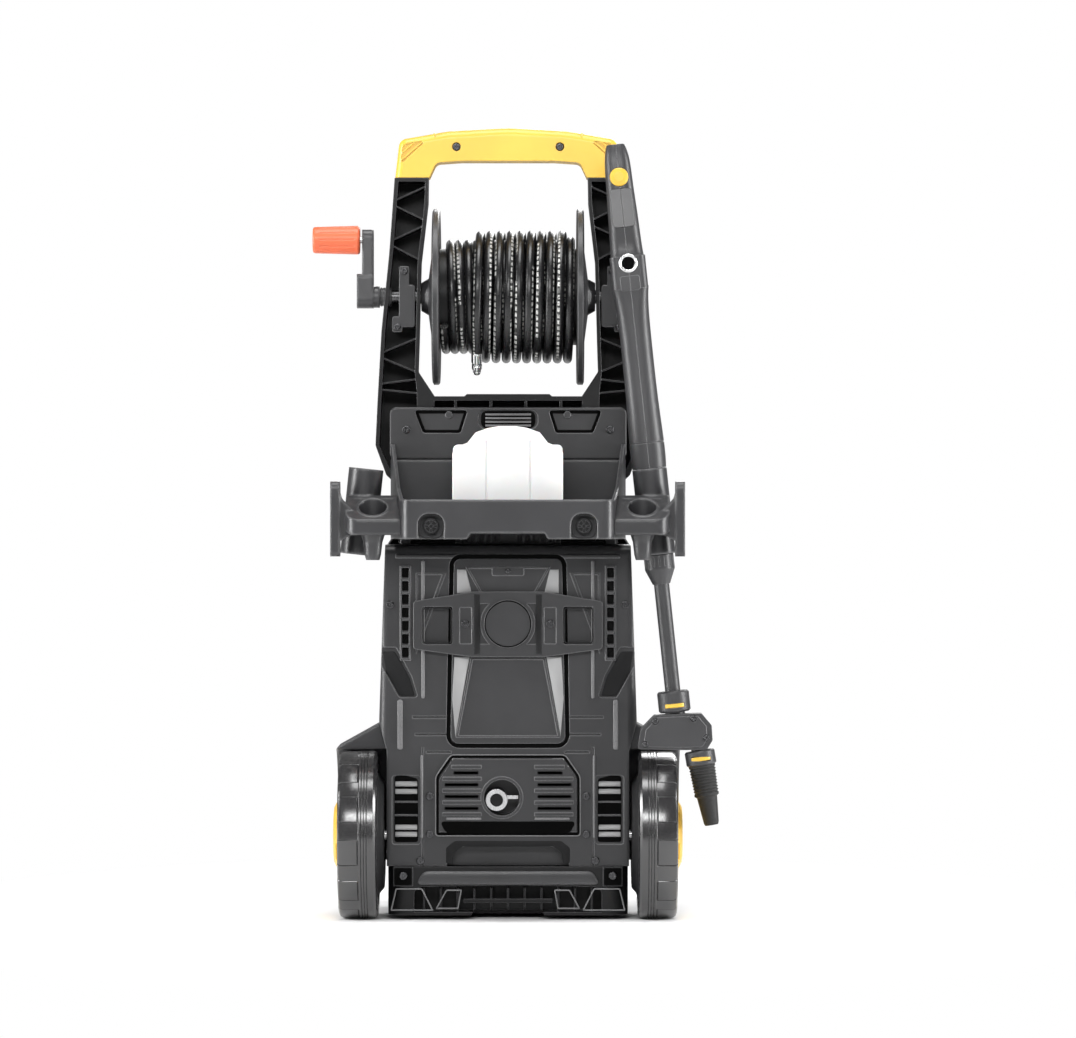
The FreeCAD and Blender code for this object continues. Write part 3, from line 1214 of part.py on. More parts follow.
def basket():
    """A tapering tray with high back corners and a thick front bar with two arched recesses."""
    back = BASKET_BACK
    wall = BASKET_WALL
    tray = prism(basket_plan(0, back, BASKET_FRONT, 14), "XY", BASKET_BOTTOM, SHELF_REAR_TOP)
    hollow = prism(basket_plan(wall, back - wall, BASKET_FRONT + BAR_T, 6), "XY", BASKET_FLOOR,
                   SHELF_REAR_TOP + 1)
    above = SHELF_REAR_TOP + 60
    side_cut = prism(
        [(back + 1, SHELF_REAR_TOP), (back - 12, SHELF_REAR_TOP), (-125, BASKET_TOP + 13.4, 20),
         (BASKET_FRONT + BAR_T, BASKET_TOP, 10), (BASKET_FRONT - 1, BASKET_TOP),
         (BASKET_FRONT - 1, above), (back + 1, above)],
        "YZ", -150, 150)
    tray = tray.cut(hollow).cut(side_cut)
    under = prism([(-116, BASKET_BOTTOM - 1), (116, BASKET_BOTTOM - 1), (104, BASKET_FLOOR - 4, 4),
                   (-104, BASKET_FLOOR - 4, 4)], "XZ", BASKET_FRONT + BAR_T, back + 1)
    rise = prism([(-46, BASKET_BOTTOM - 1), (46, BASKET_BOTTOM - 1), (41, BASKET_FLOOR - 3, 4),
                  (-41, BASKET_FLOOR - 3, 4)], "XZ", BASKET_FRONT - 1, BASKET_FRONT + BAR_T + 1)
    bay = box(-36, 36, back - wall - 1, back + 1, BASKET_FLOOR + 6, SHELF_REAR_TOP - 22)
    cover_rear = POST_REAR - 2 * SEAM - COVER_T
    cuts = [under, rise, box(-150, 150, cover_rear, back + 1, COVER_BOTTOM - SEAM, SHELF_REAR_TOP + 1)]
    for side in (-1, 1):
        x = side * ARCH_X
        low, high = sorted((x - ARCH_HALF, x + ARCH_HALF))
        recess = prism([(low, BASKET_BOTTOM - 1), (high, BASKET_BOTTOM - 1), (high, ARCH_Z + 14, 12),
                        (low, ARCH_Z + 14, 12)], "XZ", BASKET_FRONT - 1, BASKET_FRONT + 12)
        cuts.append(recess)
        cuts.append(screw_hole(vec(x, BASKET_FRONT + 12, ARCH_Z), Y_AXIS))
        wing_x = side * side_x(WING_SCREW_Y)
        cuts.append(rod(SCREW_R + RUN, vec(wing_x - 12, WING_SCREW_Y, WING_SCREW_Z),
                        vec(wing_x + 12, WING_SCREW_Y, WING_SCREW_Z)))
    tray = tray.cut(Part.makeCompound(cuts)).cut(bay)
    legs = []
    for side in (-1, 1):
        low, high = sorted((side * 111, side * 123))
        legs.append(box(low, high, back - 14, back, CASE_TOP + SEAM, BASKET_BOTTOM + 1))
    vents = box(-60, 60, back - 6, back, CASE_TOP + SEAM, BASKET_FLOOR + 1)
    slots = []
    for i in range(14):
        x = -56.5 + i * 8.7
        if abs(x) > 9:
            slots.append(box(x - 2.6, x + 2.6, back - 7, back - 3, CASE_TOP + 2.5, BASKET_FLOOR - 5))
    return joined(tray, *legs, vents).cut(Part.makeCompound(slots))


def holster_axis(z):
    """The point at a height on the gun's axis, where the right holster is centred."""
    along = (z - GUN_REF_Z) / math.cos(math.radians(GUN_LEAN))
    return gun_point(along)


def wing():
    """The right wing: a sloping plate with a nozzle cup, a holster socket and a cord horn."""
    inner_edge = side_x(WING_FRONT_Y)
    below = WING_BACK_Z - 100
    above = WING_BACK_Z + 100
    arm_bottom = WING_BACK_Z - 41
    slope = prism(
        [(WING_BACK_Y, WING_BACK_Z, 2), (WING_FRONT_Y, WING_FRONT_Z, 2),
         (WING_FRONT_Y, WING_FRONT_Z - WING_T, 2), (WING_BACK_Y, WING_BACK_Z - WING_T - 8, 2)],
        "YZ", inner_edge, WING_END)
    round_plan = prism(
        [(inner_edge, WING_BACK_Y), (inner_edge, WING_FRONT_Y), (WING_END, WING_FRONT_Y, 16),
         (WING_END, WING_BACK_Y, 4)], "XY", below, above)
    slope = slope.common(round_plan)
    cup_top = WING_BACK_Z
    cup = turned(
        [(0, 0), (0, 7.5), (6, 9.2), (20, 10.8), (44, CUP_R), (cup_top - CUP_BOTTOM + 6, CUP_R),
         (cup_top - CUP_BOTTOM + 6, 0)],
        vec(CUP_X, CUP_Y, CUP_BOTTOM - 6), Z_AXIS)
    over = prism([(WING_BACK_Y, WING_BACK_Z + 0.8), (WING_FRONT_Y - 20, WING_FRONT_Z - 10.8),
                  (WING_FRONT_Y - 20, above), (WING_BACK_Y, above)], "YZ", 100, 220)
    cup = cup.cut(over)
    inside = turned(
        [(0, 0), (0, 7.0), (10, 8.4), (34, CUP_R - CUP_WALL), (90, CUP_R - CUP_WALL), (90, 0)],
        vec(CUP_X, CUP_Y, CUP_BOTTOM + 4), Z_AXIS)
    socket_top = gun_point(GUN_SEAT - FIT)
    socket = rod(NOSE_R + LOOSE + SOCKET_WALL, holster_axis(SOCKET_BOTTOM), socket_top)
    arm = box(inner_edge, GUN_REF_X + 4, GUN_Y - 10, GUN_Y - 6, arm_bottom, WING_BACK_Z - 3)
    tie = box(CUP_X - 22, CUP_X + 22, GUN_Y - NOSE_R - SOCKET_WALL - 6, GUN_Y - NOSE_R + 1,
              arm_bottom, WING_BACK_Z - 5)
    horn = prism(
        [(WING_BACK_Y - 4, HORN_BOTTOM, 6), (WING_BACK_Y - 4, HORN_TOP, 8),
         (WING_FRONT_Y + 14, HORN_TOP, 8), (WING_FRONT_Y + 14, HORN_BOTTOM, 6)], "YZ", HORN_IN, HORN_OUT)
    horn_web = prism(
        [(WING_END - 8, HORN_BOTTOM + 25), (HORN_IN + 1, HORN_BOTTOM + 17), (HORN_IN + 1, HORN_TOP - 9),
         (HORN_IN - 2, HORN_TOP - 19, 6), (WING_END - 8, HORN_BOTTOM + 51)],
        "XZ", WING_FRONT_Y + 18, WING_BACK_Y - 8)
    body = joined(slope, cup, socket, arm, tie, horn, horn_web)
    bore = rod(NOSE_R + LOOSE, holster_axis(SOCKET_BOTTOM - 5), socket_top + GUN_UP * 5)
    slot_half = LANCE_R + 1.4
    slot = box(-slot_half, slot_half, 0, 40, -160, 40)
    slot = on_gun(slot)
    basket_side = prism(basket_plan(-FIT, BASKET_BACK + 1, BASKET_FRONT - 1, 0), "XY", below, above)
    hole = rod(SCREW_R + RUN, vec(110, WING_SCREW_Y, WING_SCREW_Z), vec(140, WING_SCREW_Y, WING_SCREW_Z))
    return body.cut(inside).cut(bore).cut(slot).cut(basket_side).cut(hole)


def wing_screw(side):
    """The screw that holds a wing to the basket, with its head inside the basket."""
    seat = vec(side * (side_x(WING_SCREW_Y) - BASKET_WALL - 0.6), WING_SCREW_Y, WING_SCREW_Z)
    return screw(seat, X_AXIS * side, SCREW_HEAD_R, 12)


def cap_screw(side):
    """A large round screw cap with a crossed face, in an arched recess of the basket."""
    seat = vec(side * ARCH_X, BASKET_FRONT + 12, ARCH_Z)
    head = turned([(0, 0), (0, CAP_SCREW_R), (5, CAP_SCREW_R, 1.5), (5, 0)], seat, Y_AXIS * -1)
    shank = rod(SCREW_R, seat + Y_AXIS * 8, seat - Y_AXIS)
    cross = []
    for quarter in range(2):
        bar = box(-7, 7, -6, -3.6, -1, 1)
        bar.rotate(vec(0, 0, 0), Y_AXIS, quarter * 90)
        bar.translate(seat)
        cross.append(bar)
    return joined(head, shank).cut(Part.makeCompound(cross))


# Detergent tank


def tank_solid(inset):
    """The tank's body, drawn inward by inset."""
    base = BASKET_FLOOR + FIT + inset
    top = TANK_TOP - inset
    front = prism(
        [(-TANK_HALF + inset, base, 11), (TANK_HALF - inset, base, 11), (TANK_HALF - inset, top - 28, 4),
         (TANK_HALF - 16 - inset, top - 19, 6), (TANK_HALF - 26 - inset, top - 4, 6), (0, top, 120),
         (-TANK_HALF + 26 + inset, top - 4, 6), (-TANK_HALF + 16 + inset, top - 19, 6),
         (-TANK_HALF + inset, top - 28, 4)],
        "XZ", TANK_FRONT + inset, TANK_BACK - inset)
    plan = prism(
        rect(-TANK_HALF + inset, TANK_HALF - inset, TANK_FRONT + inset, TANK_BACK - inset, 12),
        "XY", base - 1, top + 1)
    low = prism(
        [(TANK_BACK - inset, base), (TANK_FRONT + inset, base), (TANK_FRONT + inset, top, 5),
         (TANK_NECK_Y - 26, top, 8), (TANK_NECK_Y - 22, TANK_NECK_Z - inset),
         (TANK_BACK - inset, TANK_NECK_Z - inset)],
        "YZ", -TANK_HALF, TANK_HALF)
    return front.common(plan).common(low)


def detergent_tank():
    """The white tank with its filling neck."""
    neck_base = vec(0, TANK_NECK_Y, TANK_NECK_Z - 4)
    neck_top = vec(0, TANK_NECK_Y, TANK_NECK_Z + 9)
    body = joined(tank_solid(0), rod(NECK_R, neck_base, neck_top))
    creases = []
    for x in (-24, 25):
        creases.append(box(x - 0.6, x + 0.6, TANK_FRONT - 1, TANK_FRONT + 0.8,
                           BASKET_FLOOR + 9.3, TANK_TOP - 12))
    mouth = rod(NECK_R - 3, neck_base - Z_AXIS * 4, neck_top + Z_AXIS)
    return body.cut(tank_solid(TANK_WALL)).cut(mouth).cut(Part.makeCompound(creases))


def tank_cap():
    """A ribbed cap that turns on the tank's neck."""
    start = vec(0, TANK_NECK_Y, TANK_NECK_Z + FIT)
    cap = turned([(0, NECK_R + FIT), (0, TANK_CAP_R), (TANK_CAP_H, TANK_CAP_R, 2), (TANK_CAP_H, 0),
                  (9 + FIT, 0), (9 + FIT, NECK_R + FIT)], start, Z_AXIS)
    grooves = []
    for i in range(24):
        groove = rod(0.9, vec(TANK_CAP_R + 0.3, 0, 1), vec(TANK_CAP_R + 0.3, 0, TANK_CAP_H - 2))
        groove.rotate(vec(0, 0, 0), Z_AXIS, i * 15)
        groove.translate(start)
        grooves.append(groove)
    return cap.cut(Part.makeCompound(grooves))


# Gun


def section(along, half_w, half_d, corner, shift):
    """A rounded rectangle across the gun's upright axis."""
    return outline(rect(-half_w, half_w, shift - half_d, shift + half_d, corner), "XY", along)


def gun_solid():
    """The gun's body drawn upright about its axis."""

    def lofted(rows):
        return Part.makeLoft([section(*row) for row in rows], True)

    handle = lofted([(GUN_TOP, 10, 11, 8, 0), (GUN_TOP - 8, 12.5, 14, 9, 0), (315, 14.5, 16.5, 10, 0),
                     (285, 15.5, 17.5, 11, 0), (250, 17, 17.5, 12, 0), (228, 17.8, 15.5, 12, 1),
                     (GUN_BLOCK_HIGH - 2, 19, 18, 13, 0)])
    block = lofted([(GUN_BLOCK_LOW - 10, 20, 20, 8, 0), (GUN_BLOCK_HIGH, 20, 20, 8, 0)])
    low = lofted([(GUN_BLOCK_LOW - 8, 20.5, 19.5, 9, 0), (150, 18, 18.5, 13, 0), (95, 17.6, 18, 15, 0),
                  (44, 18.2, 18.4, 16.5, 0), (4, 19.6, 19.6, 18.5, 0), (GUN_SEAT, 19.0, 19.0, 18.4, 0)])
    return joined(handle, block, low)


def gun_shells():
    """The left and right shells with the seats for everything they hold."""
    outer = gun_solid()
    cuts = [
        rod(BARREL_R + RUN, vec(0, 0, GUN_SEAT - 2), vec(0, 0, GUN_BLOCK_HIGH - 8)),
        rod(INLET_RING_R + 0.1, vec(0, -30, GUN_INLET_Z), vec(0, 0, GUN_INLET_Z)),
        rod(BUTTON_R + 0.2, vec(0, -30, BUTTON_Z), vec(0, -8, BUTTON_Z)),
        prism(rect(-TRIGGER_W / 2 - 0.4, TRIGGER_W / 2 + 0.4, 5.5, 40), "XY", 213.5, 301),
        prism(rect(-12.2, 12.2, 246, 289, 5), "XZ", -30, -14.8),
        rod(3.1, vec(-30, 12, TRIGGER_PIVOT_Z), vec(30, 12, TRIGGER_PIVOT_Z)),
    ]
    outer = outer.cut(Part.makeCompound(cuts))
    seam = pipe(24, 18.9, vec(0, 0, 1.4), vec(0, 0, 2.6))
    outer = outer.cut(seam)
    pad = prism(rect(-11, 11, 174, 190.5, 3), "XZ", -21.2, -17)
    outer = joined(outer, pad)
    left = on_gun(outer.common(box(-60, -0.1, -60, 60, -200, 400)))
    right = on_gun(outer.common(box(0.1, 60, -60, 60, -200, 400)))
    return left, right


def gun_panel():
    """The softer panel let into the back of the gun's handle."""
    panel = prism(rect(-12, 12, 246.2, 288.8, 5), "XZ", -19.2, -14.8 - 0.05)
    groove = box(-0.5, 0.5, -20, -18.2, 240, 300)
    return on_gun(panel.cut(groove))


def gun_barrel():
    """The barrel: a thin part inside the shells and the thick nose that sits in the holster."""
    inside = rod(BARREL_R, vec(0, 0, GUN_SEAT - 5), vec(0, 0, GUN_INLET_Z - INLET_RING_R - 1))
    nose = rod(NOSE_R, vec(0, 0, NOSE_END), vec(0, 0, GUN_SEAT - SEAM))
    bore = rod(3.5, vec(0, 0, NOSE_END - 1), vec(0, 0, 160))
    seat = rod(LANCE_R + RUN, vec(0, 0, NOSE_END - 1), vec(0, 0, NOSE_END + 40))
    return on_gun(joined(inside, nose).cut(bore).cut(seat))


def gun_inlet():
    """The metal hose inlet, whose ring shows on the gun's back."""
    body = rod(INLET_RING_R, vec(0, -22.5, GUN_INLET_Z), vec(0, -1, GUN_INLET_Z))
    flare = turned([(0, INLET_BORE_R), (0, INLET_RING_R), (2.0, INLET_RING_R, 0.8), (2.0, INLET_BORE_R)],
                   vec(0, -20.5, GUN_INLET_Z), Y_AXIS * -1)
    bore = rod(INLET_BORE_R, vec(0, -25, GUN_INLET_Z), vec(0, -5, GUN_INLET_Z))
    return on_gun(joined(body, flare).cut(bore))


def trigger():
    """The trigger on the far side of the handle, on a pivot pin of its own."""
    blade = prism(
        [(7, 217, 2), (16, 216, 3), (31, 240, 8), (35, 276, 12), (39, 296, 3), (33, 298, 3), (28, 276, 12),
         (24, 246, 10), (7, 229, 2)],
        "YZ", -TRIGGER_W / 2, TRIGGER_W / 2)
    pin = rod(3, vec(-13, 12, TRIGGER_PIVOT_Z), vec(13, 12, TRIGGER_PIVOT_Z))
    return on_gun(joined(blade, pin))


def lock_button():
    """The round safety button on the gun's back."""
    profile = [(0, 0), (0, BUTTON_R), (7, BUTTON_R, 1.5), (9, BUTTON_R - 5), (9, 0)]
    button = turned(profile, vec(0, -10.5, BUTTON_Z), Y_AXIS * -1)
    return on_gun(button)


# Lance


def lance_collar():
    """The grip collar at the top of the lance, tapering to the tube."""
    profile = [(SEAM, LANCE_R + 0.02), (SEAM, NOSE_R, 1), (17, NOSE_R, 4), (34, LANCE_R + 1.2),
               (34, LANCE_R + 0.02)]
    collar = turned(profile, vec(0, 0, NOSE_END), Z_AXIS * -1)
    grooves = []
    for i in range(16):
        groove = rod(1, vec(NOSE_R + 0.4, 0, NOSE_END - 3), vec(NOSE_R + 0.4, 0, NOSE_END - 14))
        groove.rotate(vec(0, 0, 0), Z_AXIS, i * 22.5)
        grooves.append(groove)
    return on_gun(collar.cut(Part.makeCompound(grooves)))


def lance_tube():
    """The long tube, which turns in the end of the gun's barrel."""
    tube = rod(LANCE_R, vec(0, 0, LANCE_END - 20), vec(0, 0, NOSE_END + 38))
    bore = rod(4, vec(0, 0, LANCE_END - 21), vec(0, 0, NOSE_END + 39))
    return on_gun(tube.cut(bore))


def lance_ring():
    """The ring between the tube and the angled head, with a small window."""
    profile = [(0, LANCE_R + 0.02), (0, RING_R - 2), (2, RING_R, 1), (RING_L - 2, RING_R, 1),
               (RING_L, RING_R - 2), (RING_L, LANCE_R + 0.02)]
    ring = turned(profile, vec(0, 0, LANCE_END), Z_AXIS * -1)
    low = LANCE_END - RING_L + 5
    window = prism(rect(-11.5, 11.5, low, low + 5, 1), "XZ", -30, -RING_R + 4)
    return on_gun(ring.cut(window))


def head_ref():
    """The point on the lance's axis under its ring, from which the head is drawn."""
    return gun_point(HEAD_TOP)


def head_corners(shrink):
    """The head's outline about its own middle, drawn inward a little."""
    ref = head_ref()
    scale = 1 - shrink / 30
    return [(ref.x + u * scale, ref.z - 22 + (v + 22) * scale, r) for u, v, r in HEAD_OUTLINE]


def nozzle_axis():
    """The start and the direction of the nozzle's axis."""
    ref = head_ref()
    lean = math.radians(NOZZLE_LEAN)
    start = vec(ref.x + 27.4, GUN_Y, ref.z - 43.2)
    return start, vec(math.sin(lean), 0, -math.cos(lean))


def angle_head():
    """The housing that turns the water from the lance to the nozzle."""
    half = HEAD_DEPTH / 2
    housing = prism(head_corners(0), "XZ", GUN_Y - half + HEAD_PLATE_T, GUN_Y + half)
    housing = rounded(housing, 3, at_level(1, GUN_Y + half))
    neck = rod(LANCE_R + 2.5, gun_point(HEAD_TOP - SEAM), gun_point(HEAD_TOP - 12))
    start, down = nozzle_axis()
    stub = rod(STUB_R, start - down * 10, start + down * NOZZLE_RING_L)
    body = joined(housing, neck, stub)
    cuts = [rod(LANCE_R + 0.02, gun_point(HEAD_TOP + 5), gun_point(LANCE_END - 20))]
    cuts.append(rod(3, start - down * 8, start + down * (NOZZLE_RING_L + 1)))
    ref = head_ref()
    for u, v in HEAD_SCREWS:
        cuts.append(screw_hole(vec(ref.x + u, GUN_Y - half, ref.z + v), Y_AXIS))
    return body.cut(Part.makeCompound(cuts))


def head_cover():
    """The head's rear plate, raised a little inside its edge."""
    half = HEAD_DEPTH / 2
    plate = prism(head_corners(0), "XZ", GUN_Y - half, GUN_Y - half + HEAD_PLATE_T - 0.05)
    raised = prism(head_corners(4.5), "XZ", GUN_Y - half - 1.2, GUN_Y - half + 0.5)
    ref = head_ref()
    cuts = []
    for u, v in HEAD_SCREWS:
        seat = vec(ref.x + u, GUN_Y - half, ref.z + v)
        cuts.append(screw_hole(seat, Y_AXIS))
        cuts.append(rod(4.0, seat - Y_AXIS * 3, seat))
    return joined(plate, raised).cut(Part.makeCompound(cuts))


def nozzle_ring():
    """The ring that is turned to set the spray."""
    start, down = nozzle_axis()
    start = start + down * FIT
    length = NOZZLE_RING_L - FIT
    bore = STUB_R + RUN
    profile = [(0, bore), (0, NOZZLE_RING_R - 1.5), (1.5, NOZZLE_RING_R, 1),
               (length - 1.5, NOZZLE_RING_R, 1), (length, NOZZLE_RING_R - 1.5), (length, bore)]
    ring = turned(profile, start, down)
    middle = start + down * (length * 0.55)
    window = box(middle.x - 11, middle.x + 11, GUN_Y - 30, GUN_Y - NOZZLE_RING_R + 4.5,
                 middle.z - 2.6, middle.z + 2.6)
    return ring.cut(window)


def nozzle():
    """The ribbed rubber shroud of the nozzle."""
    start, down = nozzle_axis()
    start = start + down * (NOZZLE_RING_L + SEAM)
    profile = [(0, 4), (0, 15)]
    for i in range(9):
        z = 2 + i * 3.4
        profile.extend([(z, 15 - i * 0.12), (z + 1.2, 13.6 - i * 0.12), (z + 2.4, 15 - (i + 1) * 0.12)])
    profile.extend([(34, 14), (36, 11.5), (NOZZLE_L - 3, 8.6, 2), (NOZZLE_L, 7.4), (NOZZLE_L, 4)])
    return turned(profile, start, down)


# Motor and pump, upright inside the casing


def motor_housing():
    """The motor's can with end plates, bearings and feet on the pump."""
    foot = vec(0, UNIT_Y, PUMP_TOP)
    length = MOTOR_TOP - PUMP_TOP
    bore = MOTOR_SHAFT_R + RUN
    inner = MOTOR_R - MOTOR_WALL
    can = turned(
        [(0, bore), (0, MOTOR_R), (length, MOTOR_R, 6), (length, bore), (length - MOTOR_WALL, bore),
         (length - MOTOR_WALL, inner), (MOTOR_WALL, inner), (MOTOR_WALL, bore)],
        foot, Z_AXIS)
    slots = []
    for i in range(10):
        slot = box(MOTOR_R - 6, MOTOR_R + 2, -4, 4, PUMP_TOP + 96, PUMP_TOP + 112)
        slot.rotate(vec(0, 0, 0), Z_AXIS, i * 36)
        slot.translate(vec(0, UNIT_Y, 0))
        slots.append(slot)
    return can.cut(Part.makeCompound(slots))


def stator():
    """The laminated ring fixed inside the can."""
    low = vec(0, UNIT_Y, PUMP_TOP + 20)
    high = vec(0, UNIT_Y, PUMP_TOP + 92)
    return pipe(MOTOR_R - MOTOR_WALL - 0.05, STATOR_IN_R, low, high)


def rotor():
    """The rotor's core on the long shaft that drives the fan and the wobble plate."""
    core = rod(ROTOR_R, vec(0, UNIT_Y, PUMP_TOP + 22), vec(0, UNIT_Y, PUMP_TOP + 90))
    shaft = rod(MOTOR_SHAFT_R, vec(0, UNIT_Y, PUMP_HEAD_TOP + 26), vec(0, UNIT_Y, MOTOR_TOP + 14))
    return joined(core, shaft)


def cooling_fan():
    """The fan on the top end of the shaft."""
    base = MOTOR_TOP + 2
    disc = rod(FAN_R, vec(0, UNIT_Y, base), vec(0, UNIT_Y, base + 2))
    hub = rod(12, vec(0, UNIT_Y, base), vec(0, UNIT_Y, base + 12))
    blades = []
    for i in range(9):
        blade = box(10, FAN_R - 1, -1, 1, base + 1, base + 12)
        blade.rotate(vec(0, 0, 0), Z_AXIS, i * 40)
        blade.translate(vec(0, UNIT_Y, 0))
        blades.append(blade)
    body = joined(disc, hub, *blades)
    return body.cut(rod(MOTOR_SHAFT_R + 0.02, vec(0, UNIT_Y, base - 1), vec(0, UNIT_Y, base + 14)))


def wobble_plate():
    """The tilted plate on the shaft's lower end, which drives the plungers."""
    middle = PUMP_HEAD_TOP + 38
    hub = rod(14, vec(0, UNIT_Y, middle - 9), vec(0, UNIT_Y, middle + 11))
    plate = rod(36, vec(0, 0, -4), vec(0, 0, 4))
    plate.rotate(vec(0, 0, 0), X_AXIS, WOBBLE_TILT)
    plate.translate(vec(0, UNIT_Y, middle))
    bore = rod(MOTOR_SHAFT_R + 0.02, vec(0, UNIT_Y, middle - 20), vec(0, UNIT_Y, middle + 20))
    return joined(hub, plate).cut(bore)


def pump_body():
    """The pump's head with its cylinder bores and the housing round the wobble plate."""
    head = prism(rect(-46, 46, UNIT_Y - 40, UNIT_Y + 40, 8), "XY", PUMP_BOTTOM, PUMP_HEAD_TOP)
    housing = rod(PUMP_R, vec(0, UNIT_Y, PUMP_HEAD_TOP - 1), vec(0, UNIT_Y, PUMP_TOP))
    cavity = rod(PUMP_R - 5, vec(0, UNIT_Y, PUMP_HEAD_TOP + 10), vec(0, UNIT_Y, PUMP_TOP - 4))
    outlet = rod(9, vec(44, UNIT_Y, 105), vec(66, UNIT_Y, 105))
    valve = rod(11, vec(-44, UNIT_Y, 105), vec(-74, UNIT_Y, 105))
    body = joined(head, housing, outlet, valve)
    cuts = [cavity]
    cuts.append(rod(5, vec(50, UNIT_Y, 105), vec(67, UNIT_Y, 105)))
    cuts.append(rod(MOTOR_SHAFT_R + 1, vec(0, UNIT_Y, PUMP_TOP - 6), vec(0, UNIT_Y, PUMP_TOP + 1)))
    for i in range(3):
        centre = plunger_centre(i)
        low = vec(centre.x, centre.y, PUMP_HEAD_TOP - 40)
        cuts.append(rod(PLUNGER_R + 0.05, low, vec(centre.x, centre.y, PUMP_HEAD_TOP + 11)))
    water = vec(WATER_X, UNIT_Y - 41, WATER_Z)
    cuts.append(rod(WATER_R - 3 + 0.05, water, water + Y_AXIS * 10))
    return body.cut(Part.makeCompound(cuts))


def plunger_centre(i):
    """The middle of one of the three plungers, in plan."""
    angle = math.radians(30 + i * 120)
    return vec(PLUNGER_PITCH_R * math.cos(angle), UNIT_Y + PLUNGER_PITCH_R * math.sin(angle), 0)


def plungers():
    """Three plungers that stand in their bores under the wobble plate."""
    pieces = []
    middle = PUMP_HEAD_TOP + 38
    for i in range(3):
        centre = plunger_centre(i)
        top = middle - 4 / math.cos(math.radians(WOBBLE_TILT)) - PUMP_PLAY
        lowest = top - (PLUNGER_PITCH_R + PLUNGER_R) * math.tan(math.radians(WOBBLE_TILT))
        foot = vec(centre.x, centre.y, PUMP_HEAD_TOP - 34)
        pieces.append(rod(PLUNGER_R, foot, vec(centre.x, centre.y, lowest)))
    return pieces


def inlet_fitting():
    """The water inlet, screwed into the pump and open at the rear."""
    front = CASE_REAR + 4
    end = UNIT_Y - 40
    tube = rod(WATER_R, vec(WATER_X, front, WATER_Z), vec(WATER_X, end - SEAM, WATER_Z))
    spigot = rod(WATER_R - 3, vec(WATER_X, end - 2, WATER_Z), vec(WATER_X, end + 8, WATER_Z))
    tab = box(WATER_X + WATER_R - 1, WELL_X + WELL_R - 2, front + 4, front + 8, WATER_Z + 1, WATER_Z + 5)
    bore = rod(WATER_BORE_R, vec(WATER_X, front - 1, WATER_Z), vec(WATER_X, end - 8, WATER_Z))
    return joined(tube, spigot, tab).cut(bore)


# Fasteners


def cover_screws():
    """The screws of the casing, the handle and the wings, and the basket's two large screw caps."""
    screws = []
    for side in (-1, 1):
        for x, z in CASE_SCREWS:
            screws.append(screw(vec(side * x, CASE_REAR, z), Y_AXIS))
        bracket_seat = vec(side * BRACKET_SCREW_X, bracket_screw_y(), BRACKET_Z)
        screws.append(screw(bracket_seat, Y_AXIS, SCREW_HEAD_R, 10))
        screws.append(screw(vec(side * BASE_BOX_X, BASE_REAR - 3, BASE_BOX_Z), Y_AXIS))
        screws.append(screw(vec(side * COVER_SCREW[0], POST_REAR - SEAM - COVER_T, COVER_SCREW[1]), Y_AXIS,
                            SCREW_HEAD_R, 12))
        for x, z in BLOCK_SCREWS:
            screws.append(screw(vec(side * x, BLOCK_REAR, z), Y_AXIS, 4.0))
        grip_seat = vec(side * GRIP_SCREW_X, POST_REAR + GRIP_SINK, GRIP_SCREW_Z)
        screws.append(screw(grip_seat, Y_AXIS, SCREW_HEAD_R, 26))
        screws.append(wing_screw(side))
        screws.append(cap_screw(side))
    screws.append(screw(vec(0, CASE_REAR - 1.5, PLATE_Z), Y_AXIS, 3.2))
    return screws


def head_screws():
    """The four screws of the head's plate."""
    ref = head_ref()
    seat_y = GUN_Y - HEAD_DEPTH / 2
    return [screw(vec(ref.x + u, seat_y, ref.z + v), Y_AXIS, 3.4, 7) for u, v in HEAD_SCREWS]


def save(name, *solids):
    """Write one node as a STEP file."""
    shape = solids[0] if len(solids) == 1 else Part.makeCompound(list(solids))
    shape.exportStep(f"parts/{name}.step")
    litres = shape.Volume / 1e6
    print(f"{name:20s} solids {len(shape.Solids)} volume {litres:8.5f} l valid {shape.isValid()}")


